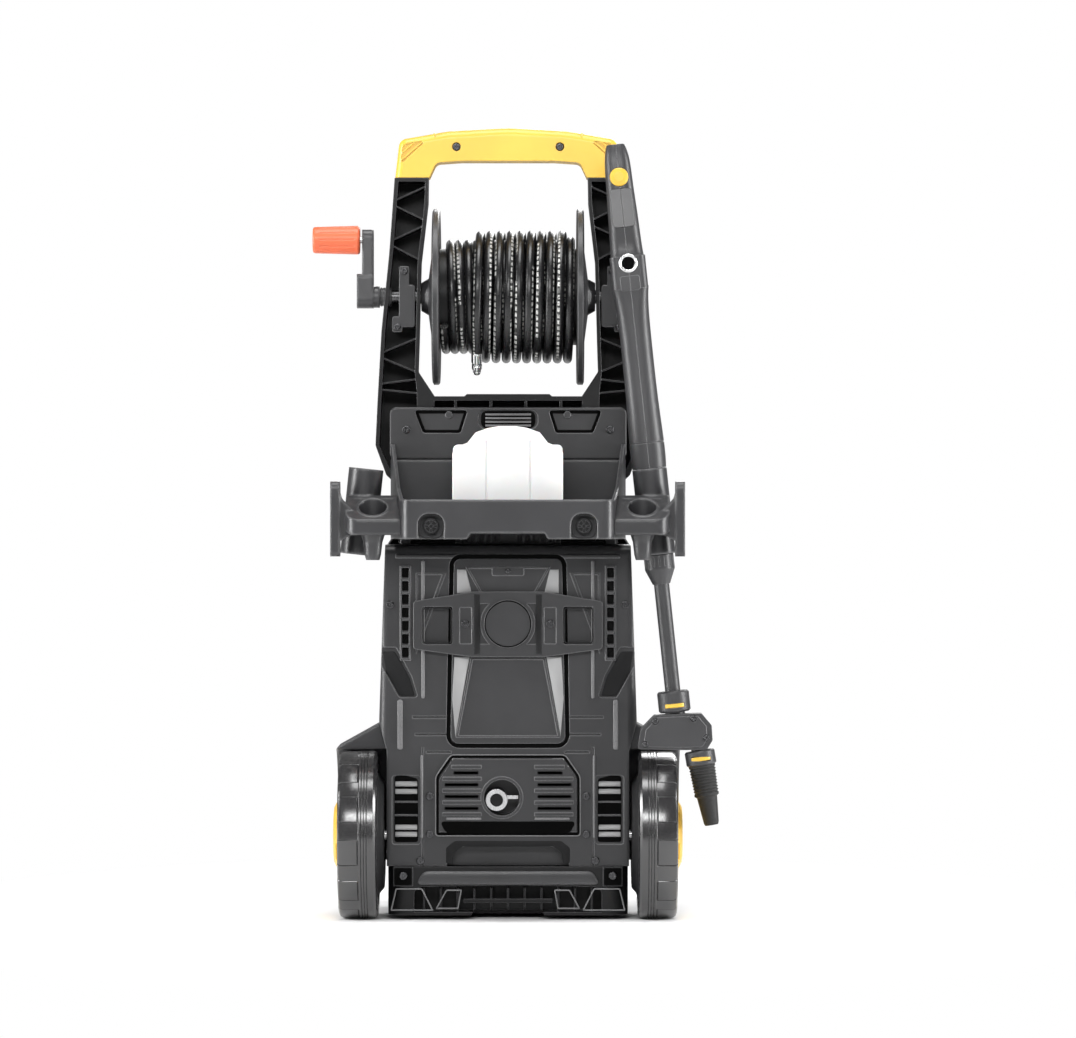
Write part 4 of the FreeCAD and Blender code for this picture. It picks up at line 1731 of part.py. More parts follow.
def main():
    """Build and save every node."""
    os.makedirs("parts", exist_ok=True)
    save("base_frame", base_frame())
    save("front_feet", *front_feet())
    save("axle", axle())
    for name, shape in (("wheel", wheel()), ("tyre", tyre()), ("hubcap", hubcap())):
        save(f"{name}_right", shape)
        save(f"{name}_left", mirrored(shape))
    save("rear_cover", rear_cover())
    save("inlet_panel", inlet_panel())
    save("accessory_bracket", accessory_bracket())
    save("front_cover", front_cover())
    save("switch_knob", switch_knob())
    save("cable_gland", cable_gland())
    save("fenders", *pair(fender()))
    save("handle_frame", handle_frame())
    save("upper_rear_cover", upper_rear_cover())
    grip_rear, grip_front = handle_grip()
    save("handle_grip_rear", grip_rear)
    save("handle_grip_front", grip_front)
    save("bearing_blocks", *pair(bearing_block()))
    save("reel_drum", reel_drum())
    save("reel_flanges", *pair(flange()))
    save("reel_shaft", reel_shaft())
    save("reel_swivel", reel_swivel())
    save("hose_winding", hose_winding())
    save("hose_tail", hose_tail())
    save("hose_connector", hose_connector())
    save("crank_arm", crank_arm())
    save("crank_pin", crank_pin())
    save("crank_grip", crank_grip())
    save("basket", basket())
    save("wing_right", wing())
    save("wing_left", mirrored(wing()))
    save("detergent_tank", detergent_tank())
    save("tank_cap", tank_cap())
    shell_left, shell_right = gun_shells()
    save("gun_shell_left", shell_left)
    save("gun_shell_right", shell_right)
    save("gun_panel", gun_panel())
    save("gun_barrel", gun_barrel())
    save("gun_inlet", gun_inlet())
    save("trigger", trigger())
    save("lock_button", lock_button())
    save("lance_collar", lance_collar())
    save("lance_tube", lance_tube())
    save("lance_ring", lance_ring())
    save("angle_head", angle_head())
    save("head_cover", head_cover())
    save("head_screws", *head_screws())
    save("nozzle_ring", nozzle_ring())
    save("nozzle", nozzle())
    save("motor_housing", motor_housing())
    save("stator", stator())
    save("rotor", rotor())
    save("cooling_fan", cooling_fan())
    save("wobble_plate", wobble_plate())
    save("pump_body", pump_body())
    save("plungers", *plungers())
    save("inlet_fitting", inlet_fitting())
    save("cover_screws", *cover_screws())


main()
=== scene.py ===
"""Visual model of an upright electric pressure washer with a hose reel.

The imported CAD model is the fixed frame. The pieces here are built round it, in metres: +Z is up,
-Y is the rear, where the operator stands, and +X is to the operator's right.
"""

import json
import logging
import math
from dataclasses import dataclass
from enum import Enum
from typing import Callable, Sequence

import bmesh
import bpy
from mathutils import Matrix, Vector

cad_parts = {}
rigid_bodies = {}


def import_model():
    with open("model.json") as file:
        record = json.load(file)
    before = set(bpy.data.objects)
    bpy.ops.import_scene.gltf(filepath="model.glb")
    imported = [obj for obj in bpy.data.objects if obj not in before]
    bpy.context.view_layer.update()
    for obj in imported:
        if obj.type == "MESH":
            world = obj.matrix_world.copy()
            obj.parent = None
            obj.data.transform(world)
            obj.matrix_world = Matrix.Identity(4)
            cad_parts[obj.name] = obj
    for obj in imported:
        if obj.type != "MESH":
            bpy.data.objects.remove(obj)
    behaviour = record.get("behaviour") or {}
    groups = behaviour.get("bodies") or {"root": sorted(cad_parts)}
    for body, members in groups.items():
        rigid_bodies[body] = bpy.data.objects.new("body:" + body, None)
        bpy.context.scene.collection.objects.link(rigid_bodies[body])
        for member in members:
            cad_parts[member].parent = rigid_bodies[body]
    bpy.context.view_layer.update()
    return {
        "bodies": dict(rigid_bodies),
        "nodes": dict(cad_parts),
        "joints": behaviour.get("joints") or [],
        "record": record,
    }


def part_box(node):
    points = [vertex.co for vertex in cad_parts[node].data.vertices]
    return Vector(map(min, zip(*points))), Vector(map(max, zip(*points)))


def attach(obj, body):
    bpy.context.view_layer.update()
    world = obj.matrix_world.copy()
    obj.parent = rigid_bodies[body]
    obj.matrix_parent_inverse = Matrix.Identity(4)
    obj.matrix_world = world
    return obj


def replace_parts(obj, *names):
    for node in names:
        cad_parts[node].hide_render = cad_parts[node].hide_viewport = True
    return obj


LOG = logging.getLogger("washer")
MM = 0.001
Colour = tuple[float, float, float]
Point = tuple[float, float, float]
Rgba = tuple[float, float, float, float]
Outline = Sequence[tuple[float, float]]
Node = bpy.types.Node
Socket = bpy.types.NodeSocket
Piece = bpy.types.Object


class Slot(Enum):
    """The record's material slots."""

    CHARCOAL = "charcoal"
    YELLOW = "yellow"
    ORANGE = "orange"
    WHITE = "white"
    HOSE = "hose_rubber"
    SOFT_RUBBER = "soft_rubber"
    TYRE = "tyre"
    STEEL = "steel"
    SCREWS = "dark_screws"
    CHROME = "chrome"
    CAST = "cast_aluminium"
    CAN = "motor_can"
    SOFT_GREY = "soft_grey"


class Axis(Enum):
    """A direction of the shared frame."""

    X = (1.0, 0.0, 0.0)
    Y = (0.0, 1.0, 0.0)
    Z = (0.0, 0.0, 1.0)

    def vector(self) -> Vector:
        """The direction as a vector."""
        return Vector(self.value)


# Shader nodes


class Graph:
    """A node tree that is being filled."""

    def __init__(self, tree: bpy.types.NodeTree) -> None:
        """Takes the tree and empties it."""
        self.tree = tree
        tree.nodes.clear()

    def add(self, kind: str, inputs: dict | None = None, **settings: object) -> Node:
        """Adds a node.

        Args:
            kind: The node's type, without the ShaderNode prefix for a shader node.
            inputs: Values by socket name or number; a socket among them is linked.
            **settings: Properties of the node.

        Returns:
            The new node.
        """
        name = kind if kind.startswith("Node") else "ShaderNode" + kind
        node = self.tree.nodes.new(name)
        for key, value in settings.items():
            setattr(node, key, value)
        for key, value in (inputs or {}).items():
            socket = node.inputs[key]
            if isinstance(value, Socket):
                self.tree.links.new(value, socket)
            else:
                socket.default_value = value
        return node

    def place_group(self, tree: bpy.types.NodeTree, inputs: dict[str, float]) -> Node:
        """Adds a shared group with its own values and returns its node."""
        return self.add("Group", inputs, node_tree=tree)

    def math(self, operation: str, first: object, second: object = 0.0, clamp: bool = False) -> Socket:
        """Adds a Math node and returns its output."""
        node = self.add("Math", {0: first, 1: second}, operation=operation, use_clamp=clamp)
        return node.outputs[0]

    def blend(self, factor: object, first: object, second: object) -> Socket:
        """Mixes two colours by a factor and returns the result."""
        node = self.add("Mix", {0: factor, 6: first, 7: second}, data_type="RGBA")
        return node.outputs[2]

    def spread(
        self, value: object, low: float, high: float, to_low: float = 0.0, to_high: float = 1.0,
    ) -> Socket:
        """Maps a range of a value smoothly onto another range."""
        node = self.add(
            "MapRange",
            {0: value, 1: low, 2: high, 3: to_low, 4: to_high},
            interpolation_type="SMOOTHSTEP",
        )
        return node.outputs[0]

    def place(self, scale: Point = (1.0, 1.0, 1.0), offset: Point = (0.0, 0.0, 0.0)) -> Socket:
        """Returns the object's own coordinates, moved and then scaled."""
        coords = self.add("TexCoord").outputs["Object"]
        return self.add("Mapping", {"Vector": coords, "Location": offset, "Scale": scale}).outputs[0]


def rgba(colour: Colour) -> Rgba:
    """A colour with full opacity."""
    return (*colour, 1.0)


class SharedEffects:
    """The shader groups that several finishes use, each built once."""

    def __init__(self) -> None:
        """Starts with no group built."""
        self._made: dict[str, bpy.types.NodeTree] = {}

    def _group(
        self, name: str, inputs: dict[str, float], outputs: dict[str, str],
    ) -> tuple[Graph, Node, Node]:
        """Makes an empty group with its sockets.

        Args:
            name: The group's name.
            inputs: Float inputs with their usual values.
            outputs: Socket types by output name.

        Returns:
            The graph, its input node and its output node.
        """
        tree = bpy.data.node_groups.new(name, "ShaderNodeTree")
        for key, value in inputs.items():
            socket = tree.interface.new_socket(key, in_out="INPUT", socket_type="NodeSocketFloat")
            socket.default_value = value
        for key, kind in outputs.items():
            tree.interface.new_socket(key, in_out="OUTPUT", socket_type=kind)
        self._made[name] = tree
        graph = Graph(tree)
        return graph, graph.add("NodeGroupInput"), graph.add("NodeGroupOutput")

    def soft_edges_and_highlight(self) -> bpy.types.NodeTree:
        """A group that rounds sharp edges in the shading and masks them for a painted highlight."""
        name = "soft_edges_and_highlight"
        if name not in self._made:
            graph, given, out = self._group(
                name,
                {"Radius": 0.0015, "Gain": 3.0},
                {"Normal": "NodeSocketVector", "Highlight": "NodeSocketFloat"},
            )
            bevel = graph.add("Bevel", {"Radius": given.outputs["Radius"]}, samples=6)
            flat = graph.add("NewGeometry").outputs["True Normal"]
            dot = graph.add("VectorMath", {0: bevel.outputs[0], 1: flat}, operation="DOT_PRODUCT")
            # Painted highlight mask: where the rounded normal turns away from the flat one.
            turn = graph.math("SUBTRACT", 1.0, dot.outputs["Value"])
            mask = graph.math("MULTIPLY", turn, given.outputs["Gain"], clamp=True)
            graph.tree.links.new(bevel.outputs[0], out.inputs["Normal"])
            graph.tree.links.new(mask, out.inputs["Highlight"])
        return self._made[name]

    def moulded_grain(self) -> bpy.types.NodeTree:
        """A group for the fine pebbled texture of a moulded surface."""
        name = "moulded_grain"
        if name not in self._made:
            graph, given, out = self._group(
                name,
                {"Scale": 900.0, "Patch": 14.0},
                {"Height": "NodeSocketFloat", "Tone": "NodeSocketFloat", "Gloss": "NodeSocketFloat"},
            )
            coords = graph.place()
            pebble = graph.add(
                "TexVoronoi", {"Vector": coords, "Scale": given.outputs["Scale"], "Randomness": 0.9},
                feature="SMOOTH_F1",
            )
            fine = graph.add("TexNoise", {"Vector": coords, "Scale": given.outputs["Scale"], "Detail": 3.0})
            broad = graph.add("TexNoise", {"Vector": coords, "Scale": given.outputs["Patch"], "Detail": 4.0})
            height = graph.math("ADD", pebble.outputs["Distance"], fine.outputs[0])
            graph.tree.links.new(height, out.inputs["Height"])
            graph.tree.links.new(graph.spread(broad.outputs[0], 0.3, 0.7), out.inputs["Tone"])
            graph.tree.links.new(graph.spread(fine.outputs[0], 0.25, 0.75), out.inputs["Gloss"])
        return self._made[name]

    def settled_dust(self) -> bpy.types.NodeTree:
        """A group that masks faint dust on faces that look up."""
        name = "settled_dust"
        if name not in self._made:
            graph, given, out = self._group(name, {"Amount": 0.25}, {"Dust": "NodeSocketFloat"})
            normal = graph.add("NewGeometry").outputs["Normal"]
            height = graph.add("SeparateXYZ", {0: normal}).outputs[2]
            speck = graph.add("TexNoise", {"Vector": graph.place(), "Scale": 160.0, "Detail": 5.0})
            upward = graph.spread(height, 0.45, 0.95)
            cover = graph.math("MULTIPLY", upward, graph.spread(speck.outputs[0], 0.4, 0.75))
            graph.tree.links.new(graph.math("MULTIPLY", cover, given.outputs["Amount"]), out.inputs["Dust"])
        return self._made[name]

    def brushed(self) -> bpy.types.NodeTree:
        """A group for the fine lines that turning and brushing leave on metal."""
        name = "brushed_lines"
        if name not in self._made:
            graph, given, out = self._group(
                name,
                {"Scale": 1.0},
                {"Height": "NodeSocketFloat", "Gloss": "NodeSocketFloat"},
            )
            coords = graph.place(scale=(2600.0, 60.0, 60.0))
            lines = graph.add("TexNoise", {"Vector": coords, "Scale": given.outputs["Scale"], "Detail": 4.0})
            graph.tree.links.new(lines.outputs[0], out.inputs["Height"])
            graph.tree.links.new(graph.spread(lines.outputs[0], 0.3, 0.7), out.inputs["Gloss"])
        return self._made[name]


EFFECTS = SharedEffects()


@dataclass(frozen=True)
class Finish:
    """A material of one colour family; it keeps a slot of the record, which is not set on the material."""

    name: str
    slot: Slot
    colour: Colour

    def _start(self) -> tuple[Graph, bpy.types.Material, Node]:
        """Makes the material with a Principled shader wired to its output.

        Returns:
            The graph, the material and the shader.
        """
        material = bpy.data.materials.new(self.name)
        material.use_nodes = True
        graph = Graph(material.node_tree)
        shader = graph.add("BsdfPrincipled")
        graph.add("OutputMaterial", {"Surface": shader.outputs[0]})
        return graph, material, shader

    def _shades(self, low: float, high: float) -> tuple[Rgba, Rgba]:
        """The colour times a low and a high share, each at most full."""
        low_tone, high_tone = (tuple(min(1.0, c * share) for c in self.colour) for share in (low, high))
        return rgba(low_tone), rgba(high_tone)

    @staticmethod
    def _wire(graph: Graph, shader: Node, colour: Socket, gloss: Socket, bump: dict) -> None:
        """Feeds the shader's colour, roughness and normal.

        Args:
            graph: The material's graph.
            shader: The Principled shader.
            colour: The base colour.
            gloss: The roughness.
            bump: The Bump node's inputs by socket name.
        """
        normal = graph.add("Bump", bump).outputs[0]
        for name, value in (("Base Color", colour), ("Roughness", gloss), ("Normal", normal)):
            graph.tree.links.new(value, shader.inputs[name])


@dataclass(frozen=True)
class MouldedPlastic(Finish):
    """Textured injection-moulded plastic with a painted highlight on its edges."""

    # The colour of the painted highlight on the edges.
    edge_highlight_colour: Colour = (0.5, 0.5, 0.5)
    roughness: tuple[float, float] = (0.36, 0.5)
    grain: float = 900.0
    depth: float = 0.00008
    edge_radius: float = 0.0013
    # The gain of the edge mask that brings in the painted highlight.
    edge_highlight_gain: float = 2.2
    dust: float = 0.05
    dust_colour: Colour = (0.55, 0.54, 0.52)
    specular: float = 0.5
    tone: float = 0.12

    def build(self) -> bpy.types.Material:
        """Makes the material."""
        graph, material, shader = self._start()
        edges = graph.place_group(EFFECTS.soft_edges_and_highlight(), {"Radius": self.edge_radius, "Gain": self.edge_highlight_gain})
        grain = graph.place_group(EFFECTS.moulded_grain(), {"Scale": self.grain})
        dust = graph.place_group(EFFECTS.settled_dust(), {"Amount": self.dust})
        colour = graph.blend(grain.outputs["Tone"], *self._shades(1 - self.tone, 1 + self.tone))
        # Painted highlight: the edge mask lightens the colour towards the edge highlight colour.
        colour = graph.blend(edges.outputs["Highlight"], colour, rgba(self.edge_highlight_colour))
        colour = graph.blend(dust.outputs["Dust"], colour, rgba(self.dust_colour))
        gloss = graph.spread(grain.outputs["Gloss"], 0.0, 1.0, *self.roughness)
        self._wire(graph, shader, colour, gloss, {
            "Height": grain.outputs["Height"], "Distance": self.depth, "Strength": 0.6,
            "Normal": edges.outputs["Normal"],
        })
        shader.inputs["Specular IOR Level"].default_value = self.specular
        return material


@dataclass(frozen=True)
class MilkyPlastic(Finish):
    """Blow-moulded plastic that lets a little light in."""

    roughness: tuple[float, float] = (0.3, 0.42)
    shade: float = 0.93
    depth: float = 0.0001

    def build(self) -> bpy.types.Material:
        """Makes the material."""
        graph, material, shader = self._start()
        edges = graph.place_group(EFFECTS.soft_edges_and_highlight(), {"Radius": 0.003, "Gain": 0.8})
        grain = graph.place_group(EFFECTS.moulded_grain(), {"Scale": 260.0, "Patch": 22.0})
        colour = graph.blend(grain.outputs["Tone"], *self._shades(self.shade, 1.0))
        gloss = graph.spread(grain.outputs["Gloss"], 0.0, 1.0, *self.roughness)
        self._wire(graph, shader, colour, gloss, {
            "Height": grain.outputs["Height"], "Distance": self.depth, "Strength": 0.25,
            "Normal": edges.outputs["Normal"],
        })
        shader.inputs["Subsurface Weight"].default_value = 0.25
        shader.inputs["Subsurface Scale"].default_value = 0.004
        return material


@dataclass(frozen=True)
class WorkedMetal(Finish):
    """Bare or plated metal with fine working lines and a painted highlight on its edges."""

    roughness: tuple[float, float] = (0.2, 0.34)
    depth: float = 0.00002
    scale: float = 1.0
    # How much lighter the edges are painted, as a painted highlight.
    edge_highlight_gain: float = 1.25

    def build(self) -> bpy.types.Material:
        """Makes the material."""
        graph, material, shader = self._start()
        edges = graph.place_group(EFFECTS.soft_edges_and_highlight(), {"Radius": 0.0006, "Gain": 1.5})
        lines = graph.place_group(EFFECTS.brushed(), {"Scale": self.scale})
        # Painted highlight: the edge mask lightens the colour at the edges.
        colour = graph.blend(edges.outputs["Highlight"], *self._shades(1.0, self.edge_highlight_gain))
        gloss = graph.spread(lines.outputs["Gloss"], 0.0, 1.0, *self.roughness)
        self._wire(graph, shader, colour, gloss, {
            "Height": lines.outputs["Height"], "Distance": self.depth, "Strength": 0.5,
            "Normal": edges.outputs["Normal"],
        })
        shader.inputs["Metallic"].default_value = 1.0
        return material


@dataclass(frozen=True)
class PrintedHose(Finish):
    """Black hose cover with a broken pale line along it."""

    mark_colour: Colour = (0.62, 0.62, 0.6)
    mark_pitch: float = 0.0062
    mark_share: tuple[float, float] = (0.18, 0.82)
    lines_round: float = 2.0
    length: float = 9.75
    twist: float = 1.3
    roughness: tuple[float, float] = (0.26, 0.36)
    depth: float = 0.00008
    lighter: float = 1.35

    def _mark(self, graph: Graph) -> Socket:
        """The mask of the printed marks, from the hose's own lengthwise map.

        Args:
            graph: The material's graph.

        Returns:
            The mask.
        """
        split = graph.add("SeparateXYZ", {0: graph.add("TexCoord").outputs["UV"]})
        metres = graph.math("MULTIPLY", split.outputs[0], self.length)
        step = graph.math("FRACT", graph.math("DIVIDE", metres, self.mark_pitch))
        begins, ends = self.mark_share
        begun, open_still = graph.math("GREATER_THAN", step, begins), graph.math("LESS_THAN", step, ends)
        dash = graph.math("MULTIPLY", begun, open_still)
        round_it = graph.math("MULTIPLY", split.outputs[1], self.lines_round)
        turned = graph.math("ADD", round_it, graph.math("MULTIPLY", metres, self.twist))
        around = graph.math("ABSOLUTE", graph.math("SUBTRACT", graph.math("FRACT", turned), 0.5))
        line = graph.spread(around, 0.075, 0.1, 1.0, 0.0)
        patch = graph.add("TexNoise", {"W": metres, "Scale": 16.0, "Detail": 2.0}, noise_dimensions="1D")
        speck = graph.add("TexNoise", {"Vector": graph.place(), "Scale": 900.0, "Detail": 2.0})
        printed = graph.spread(patch.outputs[0], 0.38, 0.42)
        worn = graph.math("MULTIPLY", printed, graph.spread(speck.outputs[0], 0.4, 0.5))
        return graph.math("MULTIPLY", graph.math("MULTIPLY", dash, line), worn)

    def build(self) -> bpy.types.Material:
        """Makes the material."""
        graph, material, shader = self._start()
        grain = graph.place_group(EFFECTS.moulded_grain(), {"Scale": 700.0})
        base = graph.blend(grain.outputs["Tone"], *self._shades(1.0, self.lighter))
        colour = graph.blend(self._mark(graph), base, rgba(self.mark_colour))
        gloss = graph.spread(grain.outputs["Gloss"], 0.0, 1.0, *self.roughness)
        self._wire(graph, shader, colour, gloss, {
            "Height": grain.outputs["Height"], "Distance": self.depth, "Strength": 0.5,
        })
        return material


class Paints:
    """The machine's finishes, each made into a material when it is first used."""

    BODY = MouldedPlastic(
        "charcoal_moulding", Slot.CHARCOAL, (0.027, 0.027, 0.0285), edge_highlight_colour=(0.19, 0.19, 0.195),
        roughness=(0.3, 0.42), edge_highlight_gain=3.6, edge_radius=0.0018, specular=0.4,
    )
    FRAME = MouldedPlastic(
        "charcoal_frame", Slot.CHARCOAL, (0.008, 0.008, 0.0085), edge_highlight_colour=(0.13, 0.13, 0.135), grain=700.0,
        roughness=(0.36, 0.48), edge_highlight_gain=3.2, specular=0.22,
    )
    GUN = MouldedPlastic(
        "charcoal_gun", Slot.CHARCOAL, (0.03, 0.03, 0.032), edge_highlight_colour=(0.18, 0.18, 0.185), grain=1300.0,
        depth=0.00012, roughness=(0.34, 0.46), edge_highlight_gain=3.0,
    )
    SOFT_GREY = MouldedPlastic(
        "soft_grey_insert", Slot.SOFT_GREY, (0.1, 0.1, 0.102), edge_highlight_colour=(0.26, 0.26, 0.26), grain=1500.0,
        roughness=(0.5, 0.62),
    )
    YELLOW = MouldedPlastic(
        "yellow_moulding", Slot.YELLOW, (0.66, 0.41, 0.045), edge_highlight_colour=(0.85, 0.62, 0.16), grain=1100.0,
        roughness=(0.3, 0.42), dust=0.05, tone=0.05,
    )
    ORANGE = MouldedPlastic(
        "orange_moulding", Slot.ORANGE, (0.66, 0.12, 0.045), edge_highlight_colour=(0.8, 0.28, 0.14), grain=1100.0,
        roughness=(0.34, 0.46), dust=0.05, tone=0.06,
    )
    WHITE = MilkyPlastic("white_tank", Slot.WHITE, (0.76, 0.76, 0.755))
    HOSE = PrintedHose("printed_hose", Slot.HOSE, (0.005, 0.005, 0.0055))
    PAD = MouldedPlastic(
        "soft_rubber", Slot.SOFT_RUBBER, (0.016, 0.016, 0.016), edge_highlight_colour=(0.06, 0.06, 0.06), grain=600.0,
        roughness=(0.55, 0.7), specular=0.35,
    )
    TYRE = MouldedPlastic(
        "tyre_rubber", Slot.TYRE, (0.013, 0.0127, 0.0135), edge_highlight_colour=(0.1, 0.1, 0.1), grain=500.0,
        depth=0.00001, roughness=(0.17, 0.24), specular=1.0, edge_radius=0.0005,
    )
    SHELF = MouldedPlastic(
        "charcoal_shelf", Slot.CHARCOAL, (0.028, 0.028, 0.03), edge_highlight_colour=(0.17, 0.17, 0.174),
        roughness=(0.28, 0.38), edge_radius=0.0045, edge_highlight_gain=2.4, dust=0.04,
    )
    SHADE = MouldedPlastic(
        "shaded_hollow", Slot.CHARCOAL, (0.009, 0.009, 0.0095), edge_highlight_colour=(0.05, 0.05, 0.052),
        roughness=(0.5, 0.6), specular=0.15, dust=0.0,
    )
    # Painted shadow: a near-black copy of the charcoal, for strips laid in grooves, pockets, wells and
    # throats where shade falls.
    SHADOW_CHANNEL = MouldedPlastic(
        "painted_shadow_channel", Slot.CHARCOAL, (0.002, 0.002, 0.002), edge_highlight_colour=(0.012, 0.012, 0.012),
        roughness=(0.8, 0.9), specular=0.04, dust=0.0,
    )
    # Painted highlight: a much lighter copy of the charcoal, for raised edges, rims, webs and blades that
    # catch the light.
    LIT_EDGE = MouldedPlastic(
        "charcoal_edge_painted_highlight", Slot.CHARCOAL, (0.13, 0.13, 0.133), edge_highlight_colour=(0.3, 0.3, 0.305),
        roughness=(0.26, 0.36),
    )
    # Painted highlight: a light grey copy of the charcoal, for slanted facets and vent blades that catch the
    # light.
    LIT_FACET = MouldedPlastic(
        "charcoal_facet_painted_highlight", Slot.CHARCOAL, (0.26, 0.26, 0.262), edge_highlight_colour=(0.36, 0.36, 0.362),
        roughness=(0.32, 0.42), edge_highlight_gain=1.5,
    )
    SHAFT = WorkedMetal("dark_shaft", Slot.STEEL, (0.09, 0.09, 0.092), roughness=(0.25, 0.35))
    STEEL = WorkedMetal("bright_steel", Slot.STEEL, (0.62, 0.62, 0.63))
    SCREWS = WorkedMetal("dark_screws", Slot.SCREWS, (0.075, 0.075, 0.078), roughness=(0.2, 0.3))
    CHROME = WorkedMetal("chrome", Slot.CHROME, (0.9, 0.9, 0.91), roughness=(0.14, 0.24))
    CAST = WorkedMetal(
        "cast_aluminium", Slot.CAST, (0.5, 0.5, 0.51), roughness=(0.4, 0.6), depth=0.0001, scale=0.2,
    )
    CAN = WorkedMetal("motor_can", Slot.CAN, (0.3, 0.31, 0.32), roughness=(0.3, 0.45))

    _made: dict[str, bpy.types.Material] = {}

    @classmethod
    def material(cls, finish: Finish) -> bpy.types.Material:
        """The material of a finish."""
        if finish.name not in cls._made:
            cls._made[finish.name] = finish.build()
        return cls._made[finish.name]

    @classmethod
    def dress(cls, piece: Piece, finish: Finish) -> None:
        """Gives a piece one finish all over."""
        slots = piece.data.materials
        slots.clear()
        slots.append(cls.material(finish))


# Camera, floor and light


@dataclass
class Studio:
    """A pale floor, soft light and a long lens level with the machine's middle."""

    aim: Point = (0.034, -0.1, 0.453)
    distance: float = 6.08
    lens: float = 180.0
    floor_size: float = 14.0
    floor_colour: Colour = (0.9, 0.9, 0.9)
    fade: tuple[float, float] = (0.28, 0.75)
    white: float = 1.0
    fill: float = 0.22
    lamp_aim: Point = (0.0, 0.0, 0.45)
    sensor: float = 36.0
    view_depth: float = 100.0

    def camera(self) -> None:
        """Makes the scene's camera, which looks along +Y."""
        data = bpy.data.cameras.new("camera")
        data.lens = self.lens
        data.sensor_width = self.sensor
        data.clip_end = self.view_depth
        camera = bpy.data.objects.new("camera", data)
        camera.location = (self.aim[0], self.aim[1] - self.distance, self.aim[2])
        camera.rotation_euler = (math.radians(90), 0.0, 0.0)
        bpy.context.scene.collection.objects.link(camera)
        bpy.context.scene.camera = camera

    def floor(self) -> None:
        """Makes the floor, which turns to plain white away from the machine."""
        bpy.ops.mesh.primitive_plane_add(size=self.floor_size, location=(0.0, 0.0, 0.0))
        floor = bpy.context.object
        floor.name = "floor"
        material = bpy.data.materials.new("floor")
        material.use_nodes = True
        graph = Graph(material.node_tree)
        matt = graph.add("BsdfDiffuse", {"Color": rgba(self.floor_colour)}).outputs[0]
        glow = graph.add("Emission", {"Color": rgba((1.0, 1.0, 1.0)), "Strength": self.white}).outputs[0]
        away = graph.add("VectorMath", {0: graph.place(scale=(1.0, 0.7, 1.0))}, operation="LENGTH")
        far = graph.spread(away.outputs["Value"], *self.fade)
        seen = graph.add("LightPath").outputs["Is Camera Ray"]
        share = graph.math("MULTIPLY", far, seen)
        surface = graph.add("MixShader", {0: share, 1: matt, 2: glow}).outputs[0]
        graph.add("OutputMaterial", {"Surface": surface})
        floor.data.materials.append(material)

    def lamp(self, name: str, place: Point, size: tuple[float, float], power: float) -> None:
        """Makes a soft box that points at the machine's middle.

        Args:
            name: The lamp's name.
            place: Where it stands.
            size: Its width and height.
            power: Its power in watts.
        """
        data = bpy.data.lights.new(name, "AREA")
        data.shape = "RECTANGLE"
        data.size, data.size_y = size
        data.energy = power
        lamp = bpy.data.objects.new(name, data)
        lamp.location = place
        aim = Vector(self.lamp_aim) - Vector(place)
        lamp.rotation_euler = aim.to_track_quat("-Z", "Y").to_euler()
        bpy.context.scene.collection.objects.link(lamp)

    def surroundings(self) -> None:
        """Makes an even pale world that looks white and lights softly."""
        world = bpy.data.worlds.new("studio")
        bpy.context.scene.world = world
        world.use_nodes = True
        graph = Graph(world.node_tree)
        seen = graph.add("LightPath").outputs["Is Camera Ray"]
        strength = graph.add("MapRange", {0: seen, 3: self.fill, 4: self.white}).outputs[0]
        back = graph.add("Background", {"Color": (1.0, 1.0, 1.0, 1.0), "Strength": strength})
        graph.add("OutputWorld", {"Surface": back.outputs[0]})
        bpy.context.scene.view_settings.view_transform = "Standard"

    def build(self) -> None:
        """Sets the whole studio up."""
        self.camera()
        self.surroundings()
        self.floor()
        self.lamp("key_lamp", (-0.3, -3.2, 1.75), (2.6, 0.5), 66.0)
        self.lamp("left_strip", (-1.9, -0.5, 0.8), (0.4, 1.7), 46.0)
        self.lamp("right_strip", (1.9, -0.5, 0.8), (0.4, 1.7), 46.0)
        self.lamp("top_lamp", (0.0, -0.4, 2.4), (1.2, 1.0), 30.0)
        self.lamp("front_lamp", (0.6, 2.6, 1.9), (1.5, 1.0), 42.0)
        LOG.info("studio ready")


# The hose


